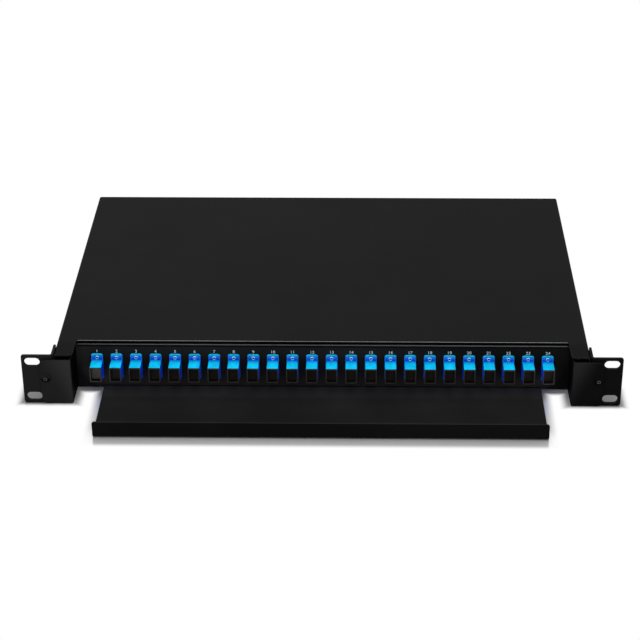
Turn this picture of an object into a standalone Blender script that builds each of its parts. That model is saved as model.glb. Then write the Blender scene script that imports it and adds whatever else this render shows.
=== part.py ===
"""Sliding fibre patch drawer, one unit high, for a 19 inch rack.

Everything is in metres. +Z is up and -Y is the front, the way the drawer pulls out. While a piece is
modelled, y = 0 is the front face of the rack ears, x = 0 is the middle of the rack and z = 0 is the
plane that the unit stands on. The unit_frame empty then moves the whole unit along Y, so that the
origin lies at the bottom centre of its overall box.
"""
import math

import bmesh
import bpy
from mathutils import Matrix, Vector

# Rack and sheet metal
RACK_WIDTH = 0.4826
UNIT_HEIGHT = 0.0440
SHEET = 0.0012
EAR_SHEET = 0.0020
FOLD_RADIUS = 0.0008
EAR_FOLD_RADIUS = 0.0010
GAP = 0.0003
OVERRUN = 0.0010

# Casing: roof and both sides in one folded sheet, with the roof cut back over the ports
EAR_REACH = 0.0263
BODY_WIDTH = RACK_WIDTH - 2 * EAR_REACH
BODY_DEPTH = 0.3000
CASING_TOP = 0.0438
CASING_FRONT = 0.0008
SLIDE_ROOM = 0.0138
RECESS_WIDTH = BODY_WIDTH - 2 * SLIDE_ROOM
NOTCH_INSET = 0.0012
NOTCH_BACK = 0.0253
NOTCH_CORNER = 0.0020
HORN_CORNER = 0.0030

# Base pan: floor, low side flanges and rear wall
PAN_FRONT = 0.0300
PAN_FLANGE = 0.0062
PAN_REAR_FLANGE = 0.0090
PAN_REAR_MARGIN = 0.0036

# Rack ears
EAR_FLANGE_DEPTH = 0.0180
EAR_CORNER = 0.0020
RACK_SLOT_WIDTH = 0.0125
RACK_SLOT_HEIGHT = 0.0071
RACK_SLOT_INSET = 0.00875
RACK_SLOT_PITCH = 0.03175
EAR_SCREW_HOLE = 0.0043
EAR_SCREW_PITCH = 0.0200
EAR_SCREW_SETBACK = 0.0110

# Drawer front: wings, returns, port panel, cable shelf and lip in one folded sheet
FRONT_BOTTOM = 0.0004
FRONT_TOP = 0.0406
WING_INSET = 0.0150
WING_GAP = 0.0004
WING_CORNER = 0.0040
PANEL_SETBACK = 0.0246
PANEL_FLANGE = 0.0100
PANEL_FLANGE_INSET = 0.0016
SHELF_INSET = 0.0217
SHELF_REACH = 0.0526
SHELF_RELIEF = 0.0006
LIP_TOP = 0.0143
LIP_CORNER = 0.0022

# Drawer tray behind the panel
TRAY_UNDERSIDE = 0.0024
TRAY_SIDE_TOP = 0.0360
TRAY_REAR_ROOM = 0.0380
TRAY_REAR_TOP = 0.0220
TRAY_FRONT_FLANGE = 0.0110
TRAY_CORNER_GAP = 0.0030
CABLE_NOTCH_WIDTH = 0.0340
CABLE_NOTCH_DEPTH = 0.0130
TIE_SLOT_LENGTH = 0.0160
TIE_SLOT_WIDTH = 0.0036
TIE_SLOT_PITCH = 0.0420
TIE_SLOT_ROW = 0.0620

# Ports
PORT_COUNT = 24
PORT_MARGIN = 0.0098
PORT_PITCH = (RECESS_WIDTH - 2 * PORT_MARGIN) / PORT_COUNT
PORT_HEIGHT = 0.0209
ADAPTER_WIDTH = 0.0093
ADAPTER_HEIGHT = 0.0130
ADAPTER_EDGE = 0.0006
ADAPTER_FRONT = 0.0152
ADAPTER_REAR = 0.0130
ADAPTER_CLEARANCE = 0.0003
FLANGE_WIDTH = 0.0098
FLANGE_HEIGHT = 0.0234
FLANGE_SHEET = 0.0020
FLANGE_CORNER = 0.0016
FLANGE_HOLE = 0.0022
FLANGE_HOLE_SPAN = 0.0166
CAP_PROUD = 0.0010
CAP_STEP = 0.0001
CAP_RIM = 0.0009
CAP_DEPTH = 0.0042

# Push-pull latches
LATCH_INSET = 0.0191
LATCH_SPACING = RACK_WIDTH - 2 * LATCH_INSET
LATCH_HEIGHT = 0.0240
LATCH_HOLE = 0.0056
GROMMET_HEAD = 0.0080
GROMMET_HEAD_DEPTH = 0.0010
GROMMET_EDGE = 0.0008
GROMMET_BARREL = 0.0050
GROMMET_REACH = 0.0062
GROMMET_BORE = 0.0030
GROMMET_SLOT = 0.0008
PLUNGER_STEM = 0.0022
PLUNGER_HEAD = 0.0042
PLUNGER_HEAD_DEPTH = 0.0008
PLUNGER_EDGE = 0.0003
PLUNGER_DIMPLE = 0.0022
PLUNGER_DIMPLE_DEPTH = 0.0005

# Telescopic slides with two rows of balls on each side of the middle rail
RAIL_FRONT = 0.0025
RAIL_REAR_ROOM = 0.0475
RAIL_HEIGHT = 0.0270
RAIL_SHEET = 0.0010
RAIL_FOLD_RADIUS = 0.0006
RAIL_CENTRE = 0.0205
RAIL_LIP = 0.0012
RAIL_SIDE_PLAY = 0.0010
RAIL_REACH = 0.0086
MIDDLE_TIP_PLAY = 0.0005
INNER_TIP_PLAY = 0.0015
RACE_GAP = 0.0026
BALL = 0.0022
BALL_SETBACK = 0.0031
BALLS_IN_ROW = 5
BALL_PITCH = 0.0180
CAGE_FRONT = 0.0620
CAGE_SHEET = 0.0004
CAGE_MARGIN = 0.0080
CAGE_REACH = 0.0056

# Splice tray, its comb and its lid
SPLICE_LENGTH = 0.1700
SPLICE_WIDTH = 0.1100
SPLICE_HEIGHT = 0.0110
SPLICE_WALL = 0.0018
SPLICE_FLOOR = 0.0016
SPLICE_CORNER = 0.0120
SPLICE_SETBACK = 0.0420
SPLICE_HUB = 0.0440
SPLICE_HUB_WALL = 0.0016
SPLICE_WAY = 0.0082
SPLICE_HUB_SPACING = SPLICE_LENGTH - 2 * (SPLICE_WALL + SPLICE_WAY) - SPLICE_HUB
SPLICE_DOOR = 0.0140
LID_SHEET = 0.0014
LID_TAB_SPACING = 0.0560
LID_TAB_WIDTH = 0.0120
LID_TAB_DEPTH = 0.0050
LID_TAB_SHEET = 0.0016
LID_TAB_INSET = 0.0003
COMB_MARGIN = 0.0090
COMB_PITCH = 0.0034
COMB_SLOT = 0.0018
COMB_SLOTS = int((SPLICE_HUB_SPACING - SPLICE_HUB - 2 * COMB_MARGIN) / COMB_PITCH)
COMB_BASE = 0.0012
COMB_HEIGHT = 0.0060
COMB_WIDTH = 0.0300

# Slack spools
SPOOL_SETBACK = 0.1120
SPOOL_HUB = 0.0540
SPOOL_WALL = 0.0018
SPOOL_FLANGE = 0.0720
SPOOL_FLANGE_SHEET = 0.0016
SPOOL_HEIGHT = 0.0200
SPOOL_FINGER = 0.0160
SPOOL_STEP = 0.0005

# Cable entries at the rear and the saddles that hold the cables in the drawer
ENTRY_INSET = 0.0512
ENTRY_SPACING = RECESS_WIDTH - 2 * ENTRY_INSET
ENTRY_HEIGHT = 0.0210
GLAND_THREAD = 0.0200
GLAND_HOLE = 0.0206
GLAND_HEX = 0.0240
GLAND_HEX_DEPTH = 0.0057
GLAND_INSIDE = 0.0085
GLAND_SPOUT = 0.0168
GLAND_SPOUT_DEPTH = 0.0090
GLAND_BORE = 0.0120
GLAND_NUT_DEPTH = 0.0050
GLAND_CAP_GRIP = 0.0090
GLAND_REACH = 0.0226
GLAND_CAP_NOSE = 0.0150
SADDLE_WIDTH = 0.0180
SADDLE_HEIGHT = 0.0100
SADDLE_FOOT = 0.0080
SADDLE_DEPTH = 0.0120
SADDLE_SETBACK = 0.0180

# How round the round things are: flats in a fold, a quarter circle, a full circle and so on
CHAMFER_STEPS = 1
FOLD_STEPS = 2
CORNER_STEPS = 3
FLANGE_CORNER_STEPS = 2
SPLICE_CORNER_STEPS = 4
FLANGE_HOLE_STEPS = 6
HOLE_STEPS = 8
LATCH_STEPS = 12
TURN_STEPS = 20
FINGER_STEPS = 5
DOME_STEPS = 4
BALL_STEPS = 6
BALL_RINGS = 4
SMOOTH_ANGLE = 35

# Points closer than this are one point
WELD = 0.000005

# Worked out from the sizes above
CASING_INSIDE = BODY_WIDTH / 2 - SHEET
ROOF_UNDERSIDE = CASING_TOP - SHEET
PAN_OUTSIDE = CASING_INSIDE - GAP
EAR_INSIDE = BODY_WIDTH / 2 + GAP
RETURN_OUTSIDE = RECESS_WIDTH / 2 + SHEET
RACK_SLOT_SPAN = RACK_WIDTH - 2 * RACK_SLOT_INSET
PANEL_BACK = PANEL_SETBACK + SHEET
WING_FRONT = -WING_GAP - SHEET
TRAY_FLOOR = TRAY_UNDERSIDE + SHEET
TRAY_FRONT = PANEL_BACK + GAP
TRAY_REAR = BODY_DEPTH - TRAY_REAR_ROOM
RAIL_REAR = BODY_DEPTH - RAIL_REAR_ROOM
SPLICE_CENTRE = TRAY_REAR - SPLICE_SETBACK - SPLICE_WIDTH / 2
SPOOL_CENTRE = TRAY_REAR - SPOOL_SETBACK
SPOOL_SPARE = (RECESS_WIDTH - SPLICE_LENGTH - 2 * SPOOL_FLANGE) / 4
SPOOL_PLACE = (SPLICE_LENGTH + SPOOL_FLANGE) / 2 + SPOOL_SPARE
MID_HEIGHT = UNIT_HEIGHT / 2
UNIT_FRONT = -SHELF_REACH
UNIT_REAR = BODY_DEPTH + GLAND_REACH
UNIT_MIDDLE = (UNIT_FRONT + UNIT_REAR) / 2

MATERIALS = {
    "black_steel": ((0.016, 0.016, 0.018, 1.0), 0.55, 0.0),
    "zinc_steel": ((0.560, 0.570, 0.590, 1.0), 0.35, 1.0),
    "blue_plastic": ((0.000, 0.130, 0.620, 1.0), 0.35, 0.0),
    "black_plastic": ((0.012, 0.012, 0.013, 1.0), 0.40, 0.0),
    "white_plastic": ((0.700, 0.700, 0.680, 1.0), 0.45, 0.0),
    "clear_plastic": ((0.480, 0.500, 0.520, 1.0), 0.20, 0.0),
    "steel_balls": ((0.700, 0.710, 0.730, 1.0), 0.15, 1.0),
}


def clear_scene():
    """Remove whatever the scene holds."""
    for item in list(bpy.data.objects):
        bpy.data.objects.remove(item, do_unlink=True)


def make_collection(name):
    """Return a new collection in the scene."""
    collection = bpy.data.collections.new(name)
    bpy.context.scene.collection.children.link(collection)
    return collection


def make_materials():
    """Return one Principled material for each finish."""
    made = {}
    for name, (colour, roughness, metallic) in MATERIALS.items():
        material = bpy.data.materials.new(name)
        material.use_nodes = True
        shader = material.node_tree.nodes["Principled BSDF"]
        shader.inputs["Base Color"].default_value = colour
        shader.inputs["Roughness"].default_value = roughness
        shader.inputs["Metallic"].default_value = metallic
        material.diffuse_color = colour
        made[name] = material
    return made


# Outlines: lists of two-dimensional points in order round a closed flat shape

def arc(centre, radius, start, end, steps):
    """Points on an arc between two angles in degrees, both ends included."""
    angles = [math.radians(start + (end - start) * step / steps) for step in range(steps + 1)]
    return [Vector((centre[0] + radius * math.cos(a), centre[1] + radius * math.sin(a))) for a in angles]


def circle(centre, diameter, steps=HOLE_STEPS):
    """A round outline."""
    return arc(centre, diameter / 2, 0, 360, steps)[:-1]


def rectangle(left, right, bottom, top, radii=(0, 0, 0, 0), steps=CORNER_STEPS):
    """A rectangle with a radius for each corner, from bottom left round to top left."""
    corners = ((left, bottom, 1, 1, 180), (right, bottom, -1, 1, 270),
               (right, top, -1, -1, 0), (left, top, 1, -1, 90))
    points = []
    for (u, v, inward_u, inward_v, start), radius in zip(corners, radii):
        if radius > 0:
            centre = (u + inward_u * radius, v + inward_v * radius)
            points += arc(centre, radius, start, start + 90, steps)
        else:
            points.append(Vector((u, v)))
    return points


def slot(centre, length, width, steps=HOLE_STEPS // 2):
    """A slot with round ends that runs along the first axis."""
    half = (length - width) / 2
    right = arc((centre[0] + half, centre[1]), width / 2, -90, 90, steps)
    left = arc((centre[0] - half, centre[1]), width / 2, 90, 270, steps)
    return right + left


def folded(path, thickness, radius, steps=FOLD_STEPS):
    """The outline of a folded strip whose middle line follows a path, with arcs round the folds."""
    half = thickness / 2
    middle_radius = radius + half
    points = [Vector(point) for point in path]
    first = (points[1] - points[0]).normalized()
    samples = [(points[0], Vector((-first.y, first.x)))]
    for before, corner, after in zip(points, points[1:], points[2:]):
        arriving = (corner - before).normalized()
        leaving = (after - corner).normalized()
        turn = math.atan2(arriving.x * leaving.y - arriving.y * leaving.x, arriving.dot(leaving))
        side = math.copysign(1.0, turn)
        normal = Vector((-arriving.y, arriving.x))
        start = corner - arriving * middle_radius * math.tan(abs(turn) / 2)
        centre = start + normal * side * middle_radius
        for step in range(steps + 1):
            swung = Matrix.Rotation(turn * step / steps, 2) @ normal
            samples.append((centre - swung * side * middle_radius, swung))
    last = (points[-1] - points[-2]).normalized()
    samples.append((points[-1], Vector((-last.y, last.x))))
    left = [point + normal * half for point, normal in samples]
    right = [point - normal * half for point, normal in samples]
    return left + right[::-1]


# Solids

PLANES = {
    "XY": Matrix(((1, 0, 0, 0), (0, 1, 0, 0), (0, 0, 1, 0), (0, 0, 0, 1))),
    "XZ": Matrix(((1, 0, 0, 0), (0, 0, -1, 0), (0, 1, 0, 0), (0, 0, 0, 1))),
    "YZ": Matrix(((0, 0, 1, 0), (1, 0, 0, 0), (0, 1, 0, 0), (0, 0, 0, 1))),
}


def tidy_mesh(mesh):
    """Weld the doubled points of a mesh and turn its faces outwards."""
    work = bmesh.new()
    work.from_mesh(mesh)
    bmesh.ops.remove_doubles(work, verts=work.verts, dist=WELD)
    bmesh.ops.recalc_face_normals(work, faces=work.faces)
    work.to_mesh(mesh)
    work.free()


def evaluated_mesh(item, name):
    """Return the finished mesh of an object, modifiers included, and remove the object."""
    bpy.context.view_layer.update()
    graph = bpy.context.evaluated_depsgraph_get()
    mesh = bpy.data.meshes.new_from_object(item.evaluated_get(graph), depsgraph=graph)
    mesh.name = name
    bpy.data.objects.remove(item, do_unlink=True)
    return mesh


def extruded(name, outlines, plane, start, end):
    """A mesh made by extruding flat outlines, holes included, from start to end across their plane."""
    curve = bpy.data.curves.new(name, "CURVE")
    curve.dimensions = "2D"
    curve.fill_mode = "BOTH"
    curve.extrude = (end - start) / 2
    for outline in outlines:
        spline = curve.splines.new("POLY")
        spline.points.add(len(outline) - 1)
        for point, place in zip(spline.points, outline):
            point.co = (place[0], place[1], 0, 1)
        spline.use_cyclic_u = True
    item = bpy.data.objects.new(name, curve)
    bpy.context.scene.collection.objects.link(item)
    mesh = evaluated_mesh(item, name)
    across = (end + start) / 2
    if plane == "XZ":
        across = -across
    mesh.transform(PLANES[plane] @ Matrix.Translation((0, 0, across)))
    bpy.data.curves.remove(curve)
    tidy_mesh(mesh)
    return mesh


def boxes(name, corners):
    """A mesh of one or more boxes, each given by its lowest and highest corner."""
    work = bmesh.new()
    for low, high in corners:
        low, high = Vector(low), Vector(high)
        size = high - low
        place = Matrix.Translation((low + high) / 2) @ Matrix.Diagonal((*size, 1))
        bmesh.ops.create_cube(work, size=1, matrix=place)
    mesh = bpy.data.meshes.new(name)
    work.to_mesh(mesh)
    work.free()
    return mesh


def rods(name, diameter, axis, start, end, centres, steps=HOLE_STEPS):
    """A mesh of round bars along X or Y, each through a point of the plane across that axis."""
    degrees, about = {"X": (90, "Y"), "Y": (-90, "X")}[axis]
    swung = Matrix.Rotation(math.radians(degrees), 4, about)
    middle = (start + end) / 2
    work = bmesh.new()
    for first, second in centres:
        place = {"X": (middle, first, second), "Y": (first, middle, second)}[axis]
        bmesh.ops.create_cone(work, cap_ends=True, segments=steps, radius1=diameter / 2,
                              radius2=diameter / 2, depth=end - start,
                              matrix=Matrix.Translation(place) @ swung)
    mesh = bpy.data.meshes.new(name)
    work.to_mesh(mesh)
    work.free()
    return mesh


def turned(name, profile, steps=TURN_STEPS, closed=True):
    """A mesh turned about the Z axis from (radius, height) points that run down the outer side."""
    mesh = bpy.data.meshes.new(name)
    points = [(radius, 0, height) for radius, height in profile]
    edges = [(i, i + 1) for i in range(len(points) - 1)]
    if closed:
        edges.append((len(points) - 1, 0))
    mesh.from_pydata(points, edges, [])
    item = bpy.data.objects.new(name, mesh)
    bpy.context.scene.collection.objects.link(item)
    screw = item.modifiers.new("turn", "SCREW")
    screw.axis = "Z"
    screw.angle = math.radians(360)
    screw.steps = steps
    screw.render_steps = steps
    screw.use_merge_vertices = True
    screw.merge_threshold = WELD
    result = evaluated_mesh(item, name)
    bpy.data.meshes.remove(mesh)
    tidy_mesh(result)
    return result


def hexagon(centre, across_flats):
    """A hexagon with flats at the top and bottom."""
    radius = across_flats / 2 / math.cos(math.radians(30))
    return arc(centre, radius, 0, 360, 6)[:-1]


class Unit:
    """The collections, frames and materials that the pieces are put together with."""

    def __init__(self):
        self.parts = make_collection("sliding_fibre_patch_drawer")
        self.cutters = make_collection("cutters")
        self.materials = make_materials()
        self.frames = {}
        self.add_frame("unit_frame", None, (0, 0, 0))
        self.frames["unit_frame"].location = (0, -UNIT_MIDDLE, 0)

    def add_frame(self, name, parent, place):
        """Add an empty that carries the pieces of one body."""
        frame = bpy.data.objects.new(name, None)
        self.parts.objects.link(frame)
        frame["place"] = place
        self.frames[name] = frame
        if parent:
            frame.parent = self.frames[parent]
            frame.location = Vector(place) - Vector(self.frames[parent]["place"])

    def attach(self, item, frame, place):
        """Parent an object to a frame at a place given in the frame of the rack."""
        item.parent = self.frames[frame]
        item.location = Vector(place) - Vector(self.frames[frame]["place"])

    def piece(self, name, mesh, material, frame, place=(0, 0, 0), smooth=False):
        """Add one named piece."""
        item = bpy.data.objects.new(name, mesh)
        self.parts.objects.link(item)
        self.attach(item, frame, place)
        if not mesh.materials:
            mesh.materials.append(self.materials[material])
        if smooth:
            mesh.shade_smooth()
            mesh.set_sharp_from_angle(angle=math.radians(SMOOTH_ANGLE))
        return item

    def shape(self, item, operation, mesh, frame=None, place=(0, 0, 0)):
        """Cut a piece with a mesh, join the mesh to it, or keep only what they share."""
        tool = bpy.data.objects.new(mesh.name, mesh)
        self.cutters.objects.link(tool)
        tool.hide_render = True
        tool.display_type = "WIRE"
        self.attach(tool, frame or item.parent.name, place)
        boolean = item.modifiers.new(mesh.name, "BOOLEAN")
        boolean.operation = operation
        boolean.solver = "EXACT"
        boolean.object = tool


def both_sides():
    """The two sides of the unit: the name of each and the sign of its x."""
    return (("left", -1), ("right", 1))


def mirrored(points, side):
    """Points of a right-hand shape, turned over for the left-hand side."""
    if side > 0:
        return [Vector(point) for point in points]
    return [Vector((-point[0], point[1])) for point in points][::-1]


def ear_screw_places():
    """The y and z of the two screws that hold an ear to the casing."""
    return [(EAR_SCREW_SETBACK, MID_HEIGHT + end * EAR_SCREW_PITCH / 2) for end in (-1, 1)]


def build_casing(unit):
    """Roof and sides as an upside-down channel, with the roof notched over the ports."""
    side = BODY_WIDTH / 2 - SHEET / 2
    roof = CASING_TOP - SHEET / 2
    channel = folded([(-side, 0), (-side, roof), (side, roof), (side, 0)], SHEET, FOLD_RADIUS)
    mesh = extruded("outer_casing", [channel], "XZ", CASING_FRONT, BODY_DEPTH)
    casing = unit.piece("outer_casing", mesh, "black_steel", "unit_frame")
    edge = RECESS_WIDTH / 2 - NOTCH_INSET
    ahead = CASING_FRONT - OVERRUN
    half = [Vector((edge + HORN_CORNER, ahead))]
    half += arc((edge + HORN_CORNER, CASING_FRONT + HORN_CORNER), HORN_CORNER, 270, 180, CORNER_STEPS)
    half += arc((edge - NOTCH_CORNER, NOTCH_BACK - NOTCH_CORNER), NOTCH_CORNER, 0, 90, CORNER_STEPS)
    outline = half + mirrored(half, -1)
    notch = extruded("roof_notch", [outline], "XY", ROOF_UNDERSIDE - OVERRUN,
                     CASING_TOP + OVERRUN)
    unit.shape(casing, "DIFFERENCE", notch)
    reach = BODY_WIDTH / 2 + OVERRUN
    holes = rods("casing_screw_holes", EAR_SCREW_HOLE, "X", -reach, reach, ear_screw_places())
    unit.shape(casing, "DIFFERENCE", holes)


def build_base_pan(unit):
    """Floor with low side flanges, and a rear wall with a flange under the roof."""
    side = PAN_OUTSIDE - SHEET / 2
    floor = SHEET / 2
    path = [(-side, PAN_FLANGE), (-side, floor), (side, floor), (side, PAN_FLANGE)]
    channel = folded(path, SHEET, FOLD_RADIUS)
    mesh = extruded("base_pan", [channel], "XZ", PAN_FRONT, BODY_DEPTH)
    pan = unit.piece("base_pan", mesh, "black_steel", "unit_frame")
    rear = BODY_DEPTH - SHEET / 2
    top = ROOF_UNDERSIDE - GAP - SHEET / 2
    inner = BODY_DEPTH - PAN_REAR_FLANGE
    wall = folded([(inner, floor), (rear, floor), (rear, top), (inner, top)], SHEET, FOLD_RADIUS)
    half = PAN_OUTSIDE - PAN_REAR_MARGIN
    corner = BODY_DEPTH - SHEET - FOLD_RADIUS
    trim = boxes("pan_rear_trim", [((-half, corner, -SHEET), (half, BODY_DEPTH + SHEET, 2 * SHEET))])
    unit.shape(pan, "DIFFERENCE", trim)
    unit.shape(pan, "UNION", extruded("rear_wall", [wall], "YZ", -half, half))
    entries = [(end * ENTRY_SPACING / 2, ENTRY_HEIGHT) for end in (-1, 1)]
    start = BODY_DEPTH - SHEET - OVERRUN
    holes = rods("entry_holes", GLAND_HOLE, "Y", start, BODY_DEPTH + OVERRUN, entries, TURN_STEPS)
    unit.shape(pan, "DIFFERENCE", holes)


def build_ears(unit):
    """Rack ears: an angle in plan, kept to a rounded face with its slots and latch hole."""
    for name, side in both_sides():
        flange = EAR_INSIDE + EAR_SHEET / 2
        reach = RACK_WIDTH / 2 + OVERRUN
        path = [(flange, EAR_FLANGE_DEPTH), (flange, EAR_SHEET / 2), (reach, EAR_SHEET / 2)]
        outline = mirrored(folded(path, EAR_SHEET, EAR_FOLD_RADIUS, CORNER_STEPS), side)
        mesh = extruded("rack_ear_" + name, [outline], "XY", -OVERRUN, UNIT_HEIGHT + OVERRUN)
        ear = unit.piece("rack_ear_" + name, mesh, "black_steel", "unit_frame")
        face = rectangle(EAR_INSIDE - SHEET, RACK_WIDTH / 2, 0, UNIT_HEIGHT, (0, EAR_CORNER, EAR_CORNER, 0))
        middle = (RACK_SLOT_SPAN / 2, MID_HEIGHT)
        openings = [slot((middle[0], middle[1] + end * RACK_SLOT_PITCH / 2), RACK_SLOT_WIDTH,
                         RACK_SLOT_HEIGHT) for end in (-1, 1)]
        openings.append(circle((LATCH_SPACING / 2, LATCH_HEIGHT), LATCH_HOLE))
        outlines = [mirrored(points, side) for points in [face] + openings]
        limit = extruded("ear_face_" + name, outlines, "XZ", -EAR_SHEET, EAR_FLANGE_DEPTH + EAR_SHEET)
        unit.shape(ear, "INTERSECT", limit)
        start, end = sorted((side * (EAR_INSIDE - OVERRUN), side * (EAR_INSIDE + EAR_SHEET + OVERRUN)))
        holes = rods("ear_screw_holes_" + name, EAR_SCREW_HOLE, "X", start, end, ear_screw_places())
        unit.shape(ear, "DIFFERENCE", holes)


def port_places():
    """The x of each port, from port 1 at the left."""
    return [(index - (PORT_COUNT - 1) / 2) * PORT_PITCH for index in range(PORT_COUNT)]


def build_drawer_front(unit):
    """Wings, returns and port panel folded in plan; shelf and lip folded forward from the panel's foot."""
    wing = RACK_WIDTH / 2 - WING_INSET
    returned = RECESS_WIDTH / 2 + SHEET / 2
    wing_middle = WING_FRONT + SHEET / 2
    panel_middle = PANEL_SETBACK + SHEET / 2
    half = [(returned, panel_middle), (returned, wing_middle), (wing + OVERRUN, wing_middle)]
    plan = folded([(-u, v) for u, v in half[::-1]] + half, SHEET, FOLD_RADIUS, CORNER_STEPS)
    mesh = extruded("drawer_front", [plan], "XY", FRONT_BOTTOM - OVERRUN, FRONT_TOP + OVERRUN)
    front = unit.piece("drawer_front", mesh, "black_steel", "drawer_frame")
    face = rectangle(-wing, wing, FRONT_BOTTOM, FRONT_TOP, (WING_CORNER,) * 4)
    latches = [circle((end * LATCH_SPACING / 2, LATCH_HEIGHT), LATCH_HOLE) for end in (-1, 1)]
    limit = extruded("front_face", [face] + latches, "XZ", WING_FRONT - SHEET, PANEL_BACK + SHEET)
    unit.shape(front, "INTERSECT", limit)

    shelf = RECESS_WIDTH / 2 - SHELF_INSET
    shelf_middle = FRONT_BOTTOM + SHEET / 2
    foot = FRONT_BOTTOM + SHEET + FOLD_RADIUS + SHELF_RELIEF
    relief = boxes("shelf_relief", [((-shelf - SHELF_RELIEF, PANEL_SETBACK - SHEET, -SHEET),
                                     (shelf + SHELF_RELIEF, PANEL_BACK + SHEET, foot))])
    unit.shape(front, "DIFFERENCE", relief)
    lip_middle = UNIT_FRONT + SHEET / 2
    path = [(panel_middle, foot + SHEET), (panel_middle, shelf_middle), (lip_middle, shelf_middle),
            (lip_middle, LIP_TOP)]
    side_view = folded(path, SHEET, FOLD_RADIUS, CORNER_STEPS)
    shelf_item = unit.piece("shelf_blank", extruded("shelf_blank", [side_view], "YZ", -shelf, shelf),
                            "black_steel", "drawer_frame")
    corners = rectangle(-shelf, shelf, 0, LIP_TOP, (0, 0, LIP_CORNER, LIP_CORNER))
    rounded = extruded("lip_face", [corners], "XZ", UNIT_FRONT - SHEET, PANEL_BACK + SHEET)
    unit.shape(shelf_item, "INTERSECT", rounded)
    blank = evaluated_mesh(shelf_item, "shelf_and_lip")
    unit.shape(front, "UNION", blank, "unit_frame")

    flange_middle = FRONT_TOP - SHEET / 2
    flange_path = [(panel_middle, FRONT_TOP - PANEL_FLANGE), (panel_middle, flange_middle),
                   (PANEL_SETBACK + PANEL_FLANGE, flange_middle)]
    flange_half = RECESS_WIDTH / 2 - PANEL_FLANGE_INSET
    crest = boxes("panel_crest", [((-flange_half, PANEL_SETBACK - SHEET, FRONT_TOP - SHEET - FOLD_RADIUS),
                                   (flange_half, PANEL_BACK + SHEET, FRONT_TOP + SHEET))])
    unit.shape(front, "DIFFERENCE", crest)
    side_view = folded(flange_path, SHEET, FOLD_RADIUS)
    top_flange = extruded("panel_flange", [side_view], "YZ", -flange_half, flange_half)
    unit.shape(front, "UNION", top_flange)

    width = ADAPTER_WIDTH / 2 + ADAPTER_CLEARANCE
    height = ADAPTER_HEIGHT / 2 + ADAPTER_CLEARANCE
    openings = [((x - width, PANEL_SETBACK - OVERRUN, PORT_HEIGHT - height),
                 (x + width, PANEL_BACK + OVERRUN, PORT_HEIGHT + height)) for x in port_places()]
    unit.shape(front, "DIFFERENCE", boxes("port_openings", openings))


def build_drawer_tray(unit):
    """Tray floor and sides as a channel, with a front flange, a notched rear wall and tie slots."""
    side = RETURN_OUTSIDE - SHEET / 2
    floor = TRAY_UNDERSIDE + SHEET / 2
    channel = folded([(-side, TRAY_SIDE_TOP), (-side, floor), (side, floor), (side, TRAY_SIDE_TOP)],
                     SHEET, FOLD_RADIUS)
    mesh = extruded("drawer_tray", [channel], "XZ", TRAY_FRONT, TRAY_REAR)
    tray = unit.piece("drawer_tray", mesh, "black_steel", "drawer_frame")
    half = RETURN_OUTSIDE - SHEET - TRAY_CORNER_GAP
    fold = SHEET + FOLD_RADIUS
    trim = [((-half, TRAY_FRONT - SHEET, 0), (half, TRAY_FRONT + fold, TRAY_FLOOR + SHEET)),
            ((-half, TRAY_REAR - fold, 0), (half, TRAY_REAR + SHEET, TRAY_FLOOR + SHEET))]
    unit.shape(tray, "DIFFERENCE", boxes("tray_trim", trim))
    front, rear = TRAY_FRONT + SHEET / 2, TRAY_REAR - SHEET / 2
    front_lip = [(front, TRAY_FRONT_FLANGE), (front, floor), (front + 2 * fold, floor)]
    rear_lip = [(rear, TRAY_REAR_TOP), (rear, floor), (rear - 2 * fold, floor)]
    for title, path in (("tray_front_flange", front_lip), ("tray_rear_wall", rear_lip)):
        unit.shape(tray, "UNION", extruded(title, [folded(path, SHEET, FOLD_RADIUS)], "YZ", -half, half))
    notches = []
    for end in (-1, 1):
        middle = end * ENTRY_SPACING / 2
        left, right = middle - CABLE_NOTCH_WIDTH / 2, middle + CABLE_NOTCH_WIDTH / 2
        notches.append(((left, TRAY_REAR - SHEET - OVERRUN, TRAY_REAR_TOP - CABLE_NOTCH_DEPTH),
                        (right, TRAY_REAR + OVERRUN, TRAY_REAR_TOP + OVERRUN)))
    unit.shape(tray, "DIFFERENCE", boxes("cable_notches", notches))
    count = round((2 * half - TIE_SLOT_PITCH) / TIE_SLOT_PITCH)
    slots = []
    for index in range(count):
        middle = ((index - (count - 1) / 2) * TIE_SLOT_PITCH, TIE_SLOT_ROW)
        slots.append(slot(middle, TIE_SLOT_LENGTH, TIE_SLOT_WIDTH, FOLD_STEPS))
    cutter = extruded("tie_slots", slots, "XY", TRAY_UNDERSIDE - OVERRUN, TRAY_FLOOR + OVERRUN)
    unit.shape(tray, "DIFFERENCE", cutter)


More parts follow.
